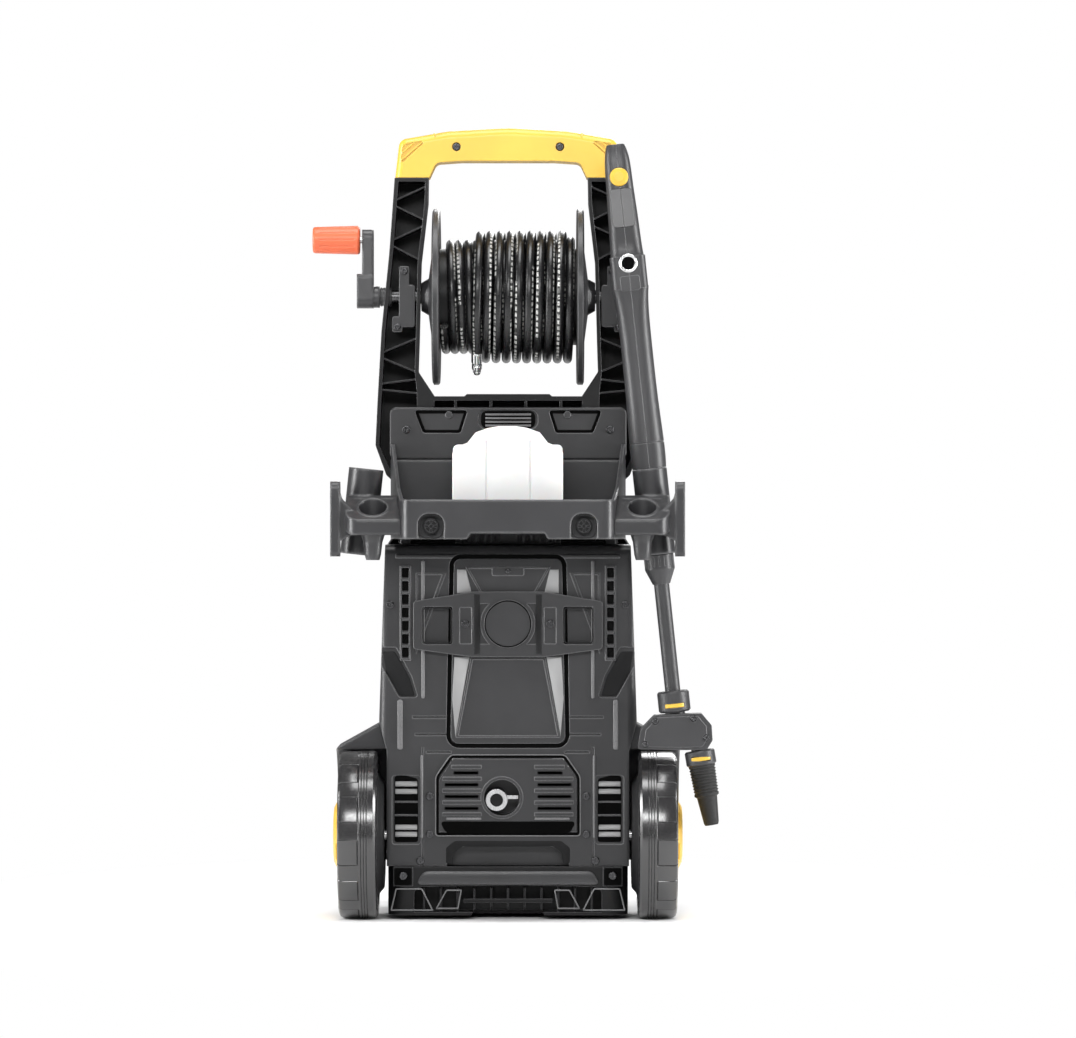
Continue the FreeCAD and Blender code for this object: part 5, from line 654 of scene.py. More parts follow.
@dataclass
class WoundHose:
    """The high-pressure hose in two layers of turns on the drum, with its end hanging clear."""

    centre: Point = (0.0, -25.0, 707.0)
    radius: float = 5.0
    first_radius: float = 60.3
    second_radius: float = 71.2
    end_radius: float = 70.3
    first_x: tuple[float, float] = (-72.6, 72.2)
    second_x: tuple[float, float] = (69.5, -35.6)
    first_turns: float = 14.5
    rise_turns: float = 0.5
    second_turns: float = 9.0
    points_per_turn: int = 24
    leaves_at: float = 35.0
    tail: float = 29.0
    body: str = "reel"

    def _on_drum(self, x: float, angle: float, radius: float) -> Point:
        """A control point on the drum.

        Args:
            x: Its place along the drum.
            angle: Its angle round the drum, counted from the rear downward.
            radius: The radius of the turn.

        Returns:
            The point, in metres.
        """
        out = radius / math.cos(math.pi / self.points_per_turn)
        return (
            x * MM,
            (self.centre[1] - out * math.cos(angle)) * MM,
            (self.centre[2] - out * math.sin(angle)) * MM,
        )

    def route(self) -> list[Point]:
        """The control points from the drum's left end to the fitting."""
        last = math.radians(self.leaves_at)
        step = 2 * math.pi / self.points_per_turn
        first = round(self.first_turns * self.points_per_turn)
        rise = round(self.rise_turns * self.points_per_turn)
        second = round(self.second_turns * self.points_per_turn)
        total = first + rise + second
        points = []
        for i in range(total + 1):
            angle = last - (total - i) * step
            if i <= first:
                x = self.first_x[0] + (self.first_x[1] - self.first_x[0]) * i / first
                radius = self.first_radius
            elif i <= first + rise:
                share = (i - first) / rise
                x = self.first_x[1] + (self.second_x[0] - self.first_x[1]) * share
                radius = self.first_radius + (self.second_radius - self.first_radius) * share
            else:
                share = (i - first - rise) / second
                x = self.second_x[0] + (self.second_x[1] - self.second_x[0]) * share
                radius = self.second_radius + (self.end_radius - self.second_radius) * share ** 4
            points.append(self._on_drum(x, angle, radius))
        along = Vector((0.0, math.sin(last), -math.cos(last)))
        start = Vector(points[-1])
        for distance in (self.tail * 0.35, self.tail * 0.7, self.tail):
            points.append(tuple(start + along * distance * MM))
        return points

    def build(self, fitting: Piece) -> None:
        """Makes the hose.

        Args:
            fitting: The CAD node of the fitting on its free end. Not used.
        """
        points = self.route()
        data = bpy.data.curves.new("wound_hose", "CURVE")
        data.dimensions = "3D"
        data.resolution_u = 3
        data.bevel_depth = self.radius * MM
        data.bevel_resolution = 4
        data.use_fill_caps = True
        spline = data.splines.new("NURBS")
        spline.points.add(len(points) - 1)
        for i, point in enumerate(points):
            spline.points[i].co = (*point, 1.0)
        spline.order_u = 3
        spline.use_endpoint_u = True
        hose = bpy.data.objects.new("wound_hose", data)
        bpy.context.scene.collection.objects.link(hose)
        Paints.dress(hose, Paints.HOSE)
        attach(hose, self.body)
        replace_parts(hose, "hose_winding", "hose_tail")


# Modelling steps that the pieces share


class Plane(Enum):
    """The plane that an outline is drawn in, by the order of its two axes and its normal."""

    XZ = (0, 2, 1)
    YZ = (1, 2, 0)

    def point(self, first: float, second: float, level: float) -> Vector:
        """A point of the plane in metres, from sizes in millimetres."""
        place = [0.0, 0.0, 0.0]
        for axis, value in zip(self.value, (first, second, level)):
            place[axis] = value * MM
        return Vector(place)


def oblong(left: float, low: float, right: float, high: float) -> list[tuple[float, float]]:
    """The four corners of an upright oblong."""
    return [(left, low), (right, low), (right, high), (left, high)]


class Bench:
    """Modelling steps with Blender's own operators, sizes in millimetres."""

    WELD = 0.00002
    SHARP = math.radians(35)
    CORNER_FACES = 5

    @staticmethod
    def clear() -> None:
        """Leaves edit mode and deselects everything."""
        if bpy.context.object and bpy.context.object.mode != "OBJECT":
            bpy.ops.object.mode_set(mode="OBJECT")
        bpy.ops.object.select_all(action="DESELECT")

    @staticmethod
    def chain(name: str, points: Sequence[Vector]) -> Piece:
        """Draws an open line by extruding one vertex from point to point.

        Args:
            name: The new piece's name.
            points: The corners, in metres.

        Returns:
            The piece, in edit mode with all of it selected.
        """
        Bench.clear()
        bpy.ops.mesh.primitive_plane_add(size=MM, location=points[0])
        piece = bpy.context.object
        piece.name = piece.data.name = name
        bpy.ops.object.transform_apply(location=True, rotation=True, scale=True)
        bpy.ops.object.mode_set(mode="EDIT")
        bpy.ops.mesh.select_mode(type="VERT")
        bpy.ops.mesh.select_all(action="SELECT")
        bpy.ops.mesh.merge(type="CENTER")
        for before, after in zip(points, points[1:]):
            bpy.ops.mesh.extrude_region_move(TRANSFORM_OT_translate={"value": after - before})
        bpy.ops.mesh.select_all(action="SELECT")
        return piece

    @staticmethod
    def sheet(name: str, corners: Outline, level: float, corner: float, plane: Plane) -> Piece:
        """Draws a flat face.

        Args:
            name: The new piece's name.
            corners: Its outline.
            level: Where it stands along the plane's normal.
            corner: The radius of its corners, or 0.
            plane: The plane of the outline.

        Returns:
            The piece, in edit mode with all of it selected.
        """
        piece = Bench.chain(name, [plane.point(a, b, level) for a, b in corners])
        bpy.ops.mesh.edge_face_add()
        if corner:
            bpy.ops.mesh.bevel(offset=corner * MM, segments=Bench.CORNER_FACES, affect="VERTICES")
            bpy.ops.mesh.select_all(action="SELECT")
        return piece

    @staticmethod
    def push(plane: Plane, distance: float) -> None:
        """Extrudes the selected faces along the plane's normal."""
        bpy.ops.mesh.extrude_region_move(TRANSFORM_OT_translate={"value": plane.point(0.0, 0.0, distance)})

    @staticmethod
    def plate(
        name: str, corners: Outline, level: float, depth: float, corner: float = 0.0, plane: Plane = Plane.XZ,
    ) -> Piece:
        """Makes a plate.

        Args:
            name: The new piece's name.
            corners: Its outline.
            level: Where it starts along the plane's normal.
            depth: How far it goes from there, either way.
            corner: The radius of its corners, or 0.
            plane: The plane of the outline.

        Returns:
            The piece, in edit mode.
        """
        piece = Bench.sheet(name, corners, level, corner, plane)
        Bench.push(plane, depth)
        return piece

    @staticmethod
    def ring(name: str, corners: Outline, width: float, level: float, depth: float, corner: float) -> Piece:
        """Makes a flat frame that stands across the machine's depth.

        Args:
            name: The new piece's name.
            corners: Its outer outline.
            width: Its width, inward from the outline.
            level: Where it starts along Y.
            depth: How far it goes from there, either way.
            corner: The radius of its outer corners.

        Returns:
            The piece, in edit mode.
        """
        piece = Bench.sheet(name, corners, level, corner, Plane.XZ)
        bpy.ops.mesh.select_mode(type="FACE")
        bpy.ops.mesh.inset(thickness=width * MM)
        bpy.ops.mesh.delete(type="FACE")
        bpy.ops.mesh.select_all(action="SELECT")
        Bench.push(Plane.XZ, depth)
        return piece

    @staticmethod
    def lathe(
        name: str, profile: Outline, start: Vector, axis: Vector, steps: int, closed: bool = False,
    ) -> Piece:
        """Turns a profile of distance along the axis and radius round an axis.

        Args:
            name: The new piece's name.
            profile: Distances along the axis and radii, in millimetres.
            start: The point that the distances count from, in millimetres.
            axis: The axis's direction.
            steps: How many steps make the whole turn.
            closed: Whether the profile returns to its first point.

        Returns:
            The piece, in edit mode with all of it selected.
        """
        along = axis.normalized()
        out = Axis.Y.vector() if abs(along.y) < 0.5 else Axis.X.vector()
        points = [(start + along * distance + out * radius) * MM for distance, radius in profile]
        if closed:
            points.append(points[0])
        piece = Bench.chain(name, points)
        bpy.ops.mesh.spin(steps=steps, angle=2 * math.pi, center=start * MM, axis=along)
        bpy.ops.mesh.select_all(action="SELECT")
        bpy.ops.mesh.remove_doubles(threshold=Bench.WELD)
        bpy.ops.mesh.normals_make_consistent(inside=False)
        return piece

    @staticmethod
    def pick(piece: Piece, test: Callable[[bmesh.types.BMFace], bool]) -> None:
        """Selects the faces that pass a test.

        Args:
            piece: The piece, in edit mode.
            test: Says of a face whether it is wanted.
        """
        bpy.ops.mesh.select_mode(type="FACE")
        bpy.ops.mesh.select_all(action="DESELECT")
        mesh = bmesh.from_edit_mesh(piece.data)
        for face in [face for face in mesh.faces if test(face)]:
            face.select_set(True)
        mesh.select_flush_mode()
        bmesh.update_edit_mesh(piece.data)

    @staticmethod
    def sink_rear(piece: Piece, width: float, depth: float) -> None:
        """Insets the faces that look to the rear.

        Args:
            piece: The piece, in edit mode.
            width: The width of the rim that stays.
            depth: How far the middle moves along its normal.
        """
        Bench.pick(piece, lambda face: face.normal.y < -0.9)
        bpy.ops.mesh.inset(thickness=width * MM, depth=depth * MM)

    @staticmethod
    def modify(piece: Piece, kind: str, **settings: object) -> None:
        """Adds a modifier and applies it.

        Args:
            piece: The active piece.
            kind: The modifier's type.
            **settings: Properties of the modifier.
        """
        bpy.context.view_layer.objects.active = piece
        modifier = piece.modifiers.new(kind.lower(), kind)
        for key, value in settings.items():
            setattr(modifier, key, value)
        bpy.ops.object.modifier_apply(modifier=modifier.name)

    @staticmethod
    def done(
        piece: Piece, finish: Finish, body: str,
        round_by: float = 0.0, segments: int = 2, smooth: float = 32.0,
    ) -> Piece:
        """Rounds, shades, dresses and seats a finished piece.

        Args:
            piece: The piece, still in edit mode.
            finish: Its finish.
            body: The body that it rides on.
            round_by: How far its sharp edges are rounded, in millimetres.
            segments: How many faces make a rounded edge.
            smooth: The angle in degrees under which edges are shaded smooth.

        Returns:
            The piece.
        """
        bpy.ops.mesh.select_all(action="SELECT")
        bpy.ops.mesh.normals_make_consistent(inside=False)
        bpy.ops.object.mode_set(mode="OBJECT")
        bpy.ops.object.select_all(action="DESELECT")
        piece.select_set(True)
        bpy.context.view_layer.objects.active = piece
        if round_by:
            Bench.modify(
                piece, "BEVEL", width=round_by * MM, segments=segments, limit_method="ANGLE",
                angle_limit=Bench.SHARP,
            )
        bpy.ops.object.transform_apply(location=True, rotation=True, scale=True)
        bpy.ops.object.shade_smooth_by_angle(angle=math.radians(smooth))
        Paints.dress(piece, finish)
        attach(piece, body)
        LOG.info("%s: %d faces on %s", piece.name, len(piece.data.polygons), body)
        return piece

    @staticmethod
    def mirrored(piece: Piece, finish: Finish, body: str) -> Piece:
        """Copies a finished right piece to the left side.

        Args:
            piece: The right piece.
            finish: The copy's finish.
            body: The body that the copy rides on.

        Returns:
            The left piece.
        """
        Bench.clear()
        copy = piece.copy()
        copy.data = piece.data.copy()
        copy.name = copy.data.name = piece.name.replace("right", "left")
        bpy.context.scene.collection.objects.link(copy)
        copy.select_set(True)
        bpy.context.view_layer.objects.active = copy
        copy.scale.x = -1.0
        bpy.ops.object.transform_apply(location=True, rotation=True, scale=True)
        bpy.ops.object.mode_set(mode="EDIT")
        return Bench.done(copy, finish, body)


# Wheels


@dataclass
class Wheels:
    """Both tyres, with outlined lugs and fine grooves, and both spoked hubcaps."""

    radius: float = 95.0
    bed: float = 80.4
    inner_x: float = 147.0
    width: float = 44.0
    axis_y: float = -75.0
    axis_z: float = 95.0
    groove_share: tuple[float, ...] = (0.24, 0.31, 0.38)
    groove: float = 1.1
    groove_depth: float = 1.3
    lugs: int = 12
    steps: int = 96
    cap_steps: int = 60
    cap_radius: float = 77.0
    cap_level: float = 189.0
    spokes: int = 6

    def _turned(self, name: str, profile: Outline, steps: int, closed: bool) -> Piece:
        """Turns a profile round the axle, counted from the inner face of the right tyre."""
        start = Vector((self.inner_x, self.axis_y, self.axis_z))
        return Bench.lathe(name, profile, start, Axis.X.vector(), steps, closed)

    def _angle(self, face: bmesh.types.BMFace) -> float:
        """The angle of a face round the axle, in degrees from 0 to 360."""
        middle = face.calc_center_median()
        away = (middle.y - self.axis_y * MM, middle.z - self.axis_z * MM)
        return math.degrees(math.atan2(away[1], away[0])) % 360.0

    def _reach(self, face: bmesh.types.BMFace) -> float:
        """The distance of a face's middle from the axle, in millimetres."""
        middle = face.calc_center_median()
        return math.hypot(middle.y / MM - self.axis_y, middle.z / MM - self.axis_z)

    def _tyre_profile(self) -> list[tuple[float, float]]:
        """The tyre's section, from its inner bead round the tread to its outer bead."""
        top = self.radius
        profile = [(0.0, self.bed), (0.0, top - 5.0), (1.2, top - 2.0), (4.0, top)]
        for share in self.groove_share:
            at = self.width * share
            sink = top - self.groove_depth
            profile += [(at, top), (at + 0.3, sink), (at + self.groove - 0.3, sink), (at + self.groove, top)]
        step = self.width * 0.45
        low = top - 0.7
        profile += [(step, top), (step + 0.7, low), (self.width - 5.0, low), (self.width - 1.5, top - 2.6)]
        profile += [(self.width, top - 6.0), (self.width, self.bed)]
        return profile

    def _tyre(self) -> Piece:
        """Makes the right tyre."""
        piece = self._turned("tread_right", self._tyre_profile(), self.steps, True)
        edge = (self.inner_x + self.width * 0.47) * MM
        share = 360.0 / self.lugs

        def on_lug(face: bmesh.types.BMFace) -> bool:
            """Whether a face belongs to the outlined part of a lug."""
            inside = self._angle(face) % share < share * 0.62
            return inside and face.calc_center_median().x > edge and self._reach(face) > self.radius - 4.5

        Bench.pick(piece, on_lug)
        bpy.ops.mesh.inset(thickness=0.6 * MM, depth=-0.9 * MM)
        bpy.ops.mesh.inset(thickness=0.8 * MM, depth=0.9 * MM)
        tyre = Bench.done(piece, Paints.TYRE, "wheel_right")
        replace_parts(tyre, "tyre_right")
        return tyre

    def _hubcap(self) -> Piece:
        """Makes the right hubcap, a dished disc with sunk fields between its spokes."""
        level = self.cap_level - self.inner_x
        profile = [
            (level - 4.0, 75.4), (level, 75.6), (level, self.cap_radius), (level + 1.4, self.cap_radius),
            (level + 2.5, 75.0), (level + 2.5, 71.0), (level + 1.2, 68.5), (level + 2.4, 44.0),
            (level + 5.6, 36.0), (level + 8.0, 31.0), (level + 8.5, 26.0), (level + 8.5, 13.5),
            (level + 6.9, 12.0), (level + 6.6, 0.0),
        ]
        piece = self._turned("wheel_cap_right", profile, self.cap_steps, False)
        share = 360.0 / self.spokes

        def in_field(face: bmesh.types.BMFace) -> bool:
            """Whether a face lies between two spokes."""
            between = share * 0.19 < self._angle(face) % share < share * 0.81
            return between and 36.5 < self._reach(face) < 67.5

        Bench.pick(piece, in_field)
        bpy.ops.mesh.inset(thickness=1.2 * MM, depth=-2.2 * MM)
        bpy.ops.mesh.inset(thickness=1.4 * MM, depth=0.8 * MM)
        bpy.ops.object.mode_set(mode="OBJECT")
        Bench.modify(piece, "SOLIDIFY", thickness=1.2 * MM, offset=-1.0)
        bpy.ops.object.mode_set(mode="EDIT")
        cap = Bench.done(piece, Paints.YELLOW, "wheel_right")
        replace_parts(cap, "hubcap_right")
        return cap

    def _drum(self) -> Piece:
        """Makes the right wheel's inner drum, which closes the gap to the casing."""
        profile = [
            (-7.0, 24.0), (-7.0, 60.0), (-5.5, 62.0), (-2.0, 66.0), (-0.5, 70.0), (6.0, 70.0), (6.0, 24.0),
        ]
        piece = self._turned("wheel_drum_right", profile, self.steps, True)
        return Bench.done(piece, Paints.FRAME, "wheel_right", 0.5)

    def build(self) -> None:
        """Makes both wheels' tyres, drums and hubcaps."""
        Bench.mirrored(self._drum(), Paints.FRAME, "wheel_left")
        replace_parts(Bench.mirrored(self._tyre(), Paints.TYRE, "wheel_left"), "tyre_left")
        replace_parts(Bench.mirrored(self._hubcap(), Paints.YELLOW, "wheel_left"), "hubcap_left")


# Detergent tank


@dataclass
class Tank:
    """The blow-moulded tank, with soft shoulders, a sunk middle field and a filling neck."""

    half: float = 62.0
    front: float = -152.0
    back: float = -60.0
    bottom: float = 441.2
    top: float = 557.0
    creases: tuple[float, float] = (-24.0, 25.0)
    crease_ends: tuple[float, float] = (0.1, 0.86)
    crease_half: float = 0.9
    crease_depth: float = 1.1
    body_round: float = 9.0
    neck_y: float = -84.0
    neck_z: float = 541.0
    neck_radius: float = 15.0
    neck_bore: float = 12.0
    smooth: float = 45.0

    def _outline(self) -> Outline:
        """The body's outline, seen from the rear."""
        half, top = self.half, self.top
        right = [
            (half, self.bottom), (half, top - 30.0), (half - 8.0, top - 22.0), (half - 17.0, top - 18.5),
            (half - 26.0, top - 7.0), (half - 40.0, top - 2.0), (10.0, top),
        ]
        return right + [(-x, z) for x, z in reversed(right)]

    def _body(self) -> Piece:
        """Makes the body, with two creases in its rear side."""
        depth = self.neck_y - 24.0 - self.front
        piece = Bench.plate("moulded_tank", self._outline(), self.front, depth)
        low, high = (self.bottom + (self.top - self.bottom) * share for share in self.crease_ends)
        sides = (-self.crease_half, self.crease_half)
        cuts = [((x + side, 0.0, 0.0), Axis.X) for x in self.creases for side in sides]
        cuts += [((0.0, 0.0, z), Axis.Z) for z in (low, high)]
        for place, normal in cuts:
            bpy.ops.mesh.select_all(action="SELECT")
            bpy.ops.mesh.bisect(plane_co=Vector(place) * MM, plane_no=normal.value)

        def on_crease(face: bmesh.types.BMFace) -> bool:
            """Whether a face of the rear side lies on one of the two creases."""
            middle = face.calc_center_median() / MM
            near = min(abs(middle.x - x) for x in self.creases) < self.crease_half - 0.1
            return near and middle.y < self.front + 0.1 and low < middle.z < high

        Bench.pick(piece, on_crease)
        Bench.push(Plane.XZ, self.crease_depth)
        bpy.ops.object.mode_set(mode="OBJECT")
        Bench.modify(
            piece, "BEVEL", width=self.body_round * MM, segments=5, limit_method="ANGLE",
            angle_limit=math.radians(60),
        )
        bpy.ops.object.mode_set(mode="EDIT")
        return Bench.done(piece, Paints.WHITE, "tank", smooth=self.smooth)

    def _step(self) -> Piece:
        """Makes the lower part behind the body, which carries the neck."""
        corners = oblong(-self.half, self.bottom, self.half, self.neck_z - 4.0)
        start = self.neck_y - 30.0
        piece = Bench.plate("tank_rear_step", corners, start, self.back - start, 6.0)
        return Bench.done(piece, Paints.WHITE, "tank", 5.0, 4, self.smooth)

    def _neck(self) -> Piece:
        """Makes the filling neck."""
        start = Vector((0.0, self.neck_y, self.neck_z - 6.0))
        bore = self.neck_bore
        wall = self.neck_radius
        profile = [(0.0, 20.0), (2.0, 20.0), (4.0, wall), (15.0, wall), (15.0, bore), (0.0, bore)]
        piece = Bench.lathe("tank_neck", profile, start, Axis.Z.vector(), 48, True)
        return Bench.done(piece, Paints.WHITE, "tank")

    def build(self) -> None:
        """Makes the tank's body, its step and its neck."""
        for part in (self._body(), self._step(), self._neck()):
            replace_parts(part, "detergent_tank")


# Covers at the rear, and the front


@dataclass
class CasingDetails:
    """Details that ride on the casing, on a face across the machine's depth."""

    face: float = 0.0
    body: str = "chassis"

    def fit(
        self, piece: Piece, finish: Finish, round_by: float = 0.0, segments: int = 2, smooth: float = 32.0,
    ) -> None:
        """Finishes a piece, and makes its left twin if it is a right one.

        Args:
            piece: The piece, still in edit mode.
            finish: Its finish.
            round_by: How far its sharp edges are rounded, in millimetres.
            segments: How many faces make a rounded edge.
            smooth: The angle in degrees under which edges are shaded smooth.
        """
        Bench.done(piece, finish, self.body, round_by, segments, smooth)
        if piece.name.endswith("_right"):
            Bench.mirrored(piece, finish, self.body)


@dataclass
class RearDetails(CasingDetails):
    """The channels of the rear covers in painted shadow, and their raised edges, louvres and facets lightened
    as painted highlights.
    """

    face: float = -95.0
    panel_top: float = 408.0
    panel_bottom: float = 199.0
    panel_top_half: float = 61.0
    panel_bottom_half: float = 65.0
    groove: float = 4.8
    inlet_slots: int = 4
    rungs: int = 7
    bracket_face: float = -103.0
    bracket_z: float = 334.5
    base_face: float = -96.6
    cap_x: float = 85.3
    cover_face: float = -50.4
    cover_top: float = 577.0
    upper_blades: int = 4

    def panel_channel(self) -> None:
        """The channel round the middle panel, a near-black strip of painted shadow."""
        top_half, low_half = self.panel_top_half + self.groove, self.panel_bottom_half + self.groove
        top, low = self.panel_top + self.groove, self.panel_bottom - self.groove
        outline = [(-top_half, top), (top_half, top), (low_half, low), (-low_half, low)]
        channel = Bench.ring("panel_channel", outline, self.groove - 0.3, self.face + 2.5, -1.9, 12.0)
        self.fit(channel, Paints.SHADOW_CHANNEL, 0.3)

    def inlet(self) -> None:
        """The inlet panel's channel and undercut in painted shadow, its rim and ledges lightened as painted
        highlights, its slots, and the band in the arch below it.
        """
        panel = [(-65, 187), (65, 187), (82.5, 162), (82.5, 94), (-82.5, 94), (-82.5, 162)]
        self.fit(Bench.ring("inlet_channel", panel, 4.2, self.face, -0.6, 4.0), Paints.SHADOW_CHANNEL, 0.2)
        self.fit(Bench.ring("inlet_rim", panel, 1.3, self.face, -2.2, 4.0), Paints.LIT_EDGE, 0.5, 3)
        undercut = [(-70, 97.5), (70, 97.5), (77, 111), (-77, 111)]
        self.fit(Bench.plate("inlet_undercut", undercut, self.face - 0.5, -1.6, 5.0), Paints.SHADOW_CHANNEL, 0.3)
        ledge = Bench.plate("inlet_ledge_right", oblong(30, 112.5, 70, 115.5), self.face - 1.0, -2.2, 1.0)
        self.fit(ledge, Paints.LIT_EDGE, 0.9, 3)
        for i in range(self.inlet_slots):
            z = 122.6 + i * 13.4
            corners = oblong(33, z + 0.8, 72.0 if z < 155 else 62.0, z + 5.4)
            slot = Bench.plate(f"inlet_slot_{i + 1}_right", corners, self.face - 1.2, -0.6, 1.4)
            Bench.sink_rear(slot, 0.9, -0.3)
            self.fit(slot, Paints.SHADE, 0.15)
        arch = [
            (-70, 63.5), (-70, 81), (-60, 89), (60, 89), (70, 81), (70, 63.5),
            (62, 63.5), (62, 74), (52, 82.5), (-52, 82.5), (-62, 74), (-62, 63.5),
        ]
        self.fit(Bench.plate("arch_band", arch, self.face + 2.0, -2.6, 2.0), Paints.SHADE, 0.4)

    def facets(self) -> None:
        """The slanted facets beside the panel's trapezoids, lightened as a painted highlight."""
        for name, corners in (
            ("facet_low_right", [(43.5, 297.0), (60.5, 297.0), (63.0, 250.0), (59.5, 207.0)]),
            ("facet_high_right", [(47.5, 396.0), (57.5, 396.0), (57.5, 369.0), (41.0, 369.0)]),
        ):
            facet = Bench.plate(name, corners, self.face + 0.3, -0.9)
            Bench.sink_rear(facet, 0.8, 0.5)
            self.fit(facet, Paints.LIT_FACET, 0.2)

    def edges(self) -> None:
        """The rounded raised edges that part the middle of the cover from its sides, lightened as a painted
        highlight.
        """
        for name, left, low, right, high in (
            ("edge_long_right", 94.0, 250.0, 98.0, 406.0), ("edge_foot_right", 119.0, 192.0, 125.0, 249.0),
            ("edge_vent_right", 95.8, 92.0, 99.0, 186.0),
        ):
            corner = (right - left) * 0.45
            edge = Bench.plate(name, oblong(left, low, right, high), self.face + 0.3, -2.6, corner)
            self.fit(edge, Paints.LIT_EDGE, 1.4, 4, 60.0)

    def ladders(self) -> None:
        """The grounds of the two ladders in painted shadow, and the floor of the slanted side channels in
        painted shade.
        """
        for i in range(self.rungs):
            z = 297.0 + i * 15.0
            corners = oblong(112.2, z, 119.8, z + 10.5)
            ground = Bench.plate(f"ladder_ground_{i + 1}_right", corners, self.face + 0.2, -0.6, 1.0)
            Bench.sink_rear(ground, 1.2, 0.4)
            self.fit(ground, Paints.SHADOW_CHANNEL, 0.15)
        slanted = [(142, 303), (128, 303), (111.5, 274), (105.5, 253), (122.5, 253), (138, 280)]
        self.fit(Bench.plate("slanted_ground_right", slanted, self.face + 3.9, -1.2, 2.0), Paints.SHADE, 0.3)

    def louvres(self) -> None:
        """The bent blades of the two lower vents, lightened as a painted highlight, their grounds in painted
        shadow, and their bars.
        """
        near = self.face + 1.0
        for i, z in enumerate((153.5, 145.0, 104.5, 96.5)):
            section = [(near, z - 3.2), (self.face - 0.6, z - 2.6), (self.face - 1.3, z), (near, z + 3.2)]
            blade = Bench.plate(f"vent_blade_{i + 1}_right", section, 102.6, 24.8, plane=Plane.YZ)
            self.fit(blade, Paints.LIT_FACET, 0.5, 3)
        ground = [(101.5, 87.5), (128.5, 87.5), (128.5, 162), (118, 163.5), (101.5, 159)]
        self.fit(Bench.plate("vent_ground_right", ground, self.face + 1.5, -0.8, 3.0), Paints.SHADOW_CHANNEL, 0.3)
        for z in (118, 133):
            corners = oblong(102, z - 1.2, 128, z + 1.2)
            bar = Bench.plate(f"vent_bar_{z}_right", corners, self.face + 1.2, -1.4, 0.6)
            self.fit(bar, Paints.BODY, 0.5)

    def bracket(self) -> None:
        """The hollows beside the bracket's disc, its disc's line and its windows' lips, all darkened as
        painted shade.
        """
        low, high = self.bracket_z - 34.0, self.bracket_z + 33.0
        hollow = [(31.5, low), (38.5, low - 0.6), (38.5, high + 0.6), (31.5, high)]
        ground = Bench.plate("bracket_hollow_right", hollow, self.bracket_face + 0.2, -0.5)
        self.fit(ground, Paints.SHADE, 0.2)
        start = Vector((0.0, self.bracket_face - 3.4, self.bracket_z))
        profile = [(0.0, 26.4), (0.0, 25.2), (-0.6, 25.4), (-0.6, 26.2)]
        self.fit(Bench.lathe("disc_line", profile, start, Axis.Y.vector(), 72, True), Paints.SHADOW_CHANNEL)
        window = oblong(63.2, self.bracket_z - 22.4, 96.4, self.bracket_z + 18.9)
        lip = Bench.ring("window_lip_right", window, 1.4, self.bracket_face + 1.0, -1.5, 4.0)
        self.fit(lip, Paints.SHADE, 0.3)

    def base(self) -> None:
        """The webs in the base's dark window, lightened as a painted highlight, the boxes beside it in
        painted shadow, and its bent bar.
        """
        for name, corners in (
            ("base_web_right", [(133.0, 10.0), (127.0, 35.5), (97.0, 35.5), (84.0, 10.0)]),
            ("base_strut_right", [(82.0, 12.0), (70.0, 34.0), (52.0, 34.0), (56.0, 12.0)]),
        ):
            self.fit(Bench.ring(name, corners, 1.5, self.base_face, -0.9, 1.5), Paints.LIT_EDGE, 0.3)
        for side, name in ((-1.0, "left"), (1.0, "right")):
            corners = oblong(side * 108.6, 39, side * 128.4, 58.5)
            box = Bench.plate(f"base_box_{name}", corners, self.base_face - 3.4, -0.5, 2.0)
            Bench.sink_rear(box, 2.0, -0.3)
            Bench.done(box, Paints.SHADOW_CHANNEL, self.body, 0.2)
        outline = [(-104, 39.5), (104, 39.5), (96, 55.0), (-96, 55.0)]
        bar = Bench.plate("base_bar", outline, self.base_face - 0.4, -1.6, 6.0)
        Bench.sink_rear(bar, 4.0, -0.8)
        self.fit(bar, Paints.SHELF, 0.6, 3)

    def shelf(self) -> None:
        """The arches of the shelf's bar, lined with painted shade, and the crossed faces of its screw caps.
        """
        profile = [
            (0.2, 9.4), (-0.6, 9.2), (-1.1, 8.4), (-1.1, 7.0),
            (-0.3, 6.6), (-0.3, 2.4), (-1.0, 2.0), (-1.1, 0.0),
        ]
        for x, name in ((-self.cap_x, "left"), (self.cap_x, "right")):
            left, right = x - 14.2, x + 14.2
            arch = [(left, 431.0), (left, 459.0), (right, 459.0), (right, 431.0)]
            lining = Bench.ring(f"arch_lining_{name}", arch, 1.7, -189.6, 6.0, 9.0)
            Bench.done(lining, Paints.SHADE, self.body, 0.3)
            start = Vector((x, -183.2, 445.0))
            cap = Bench.lathe(f"cap_face_{name}", profile, start, Axis.Y.vector(), 48)

            def quarter(face: bmesh.types.BMFace, middle: Vector = start) -> bool:
                """Whether a face lies in one of the cap's four sunk quarters."""
                away = face.calc_center_median() / MM - middle
                turn = math.degrees(math.atan2(away.z, away.x)) % 90.0
                return 2.6 < math.hypot(away.x, away.z) < 6.4 and not 12.0 < turn < 78.0

            Bench.pick(cap, quarter)
            Bench.push(Plane.XZ, -0.8)
            Bench.done(cap, Paints.FRAME, self.body)

    def water_throat(self) -> None:
        """The throat of the water inlet's thread, darkened as painted shade."""
        start = Vector((-12.9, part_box("inlet_fitting")[0][1] / MM, 134.9))
        profile = [(2.0, 7.6), (-0.3, 7.3), (-0.2, 6.4), (0.4, 5.0), (0.5, 0.0)]
        self.fit(Bench.lathe("water_throat", profile, start, Axis.Y.vector(), 48), Paints.SHADE)

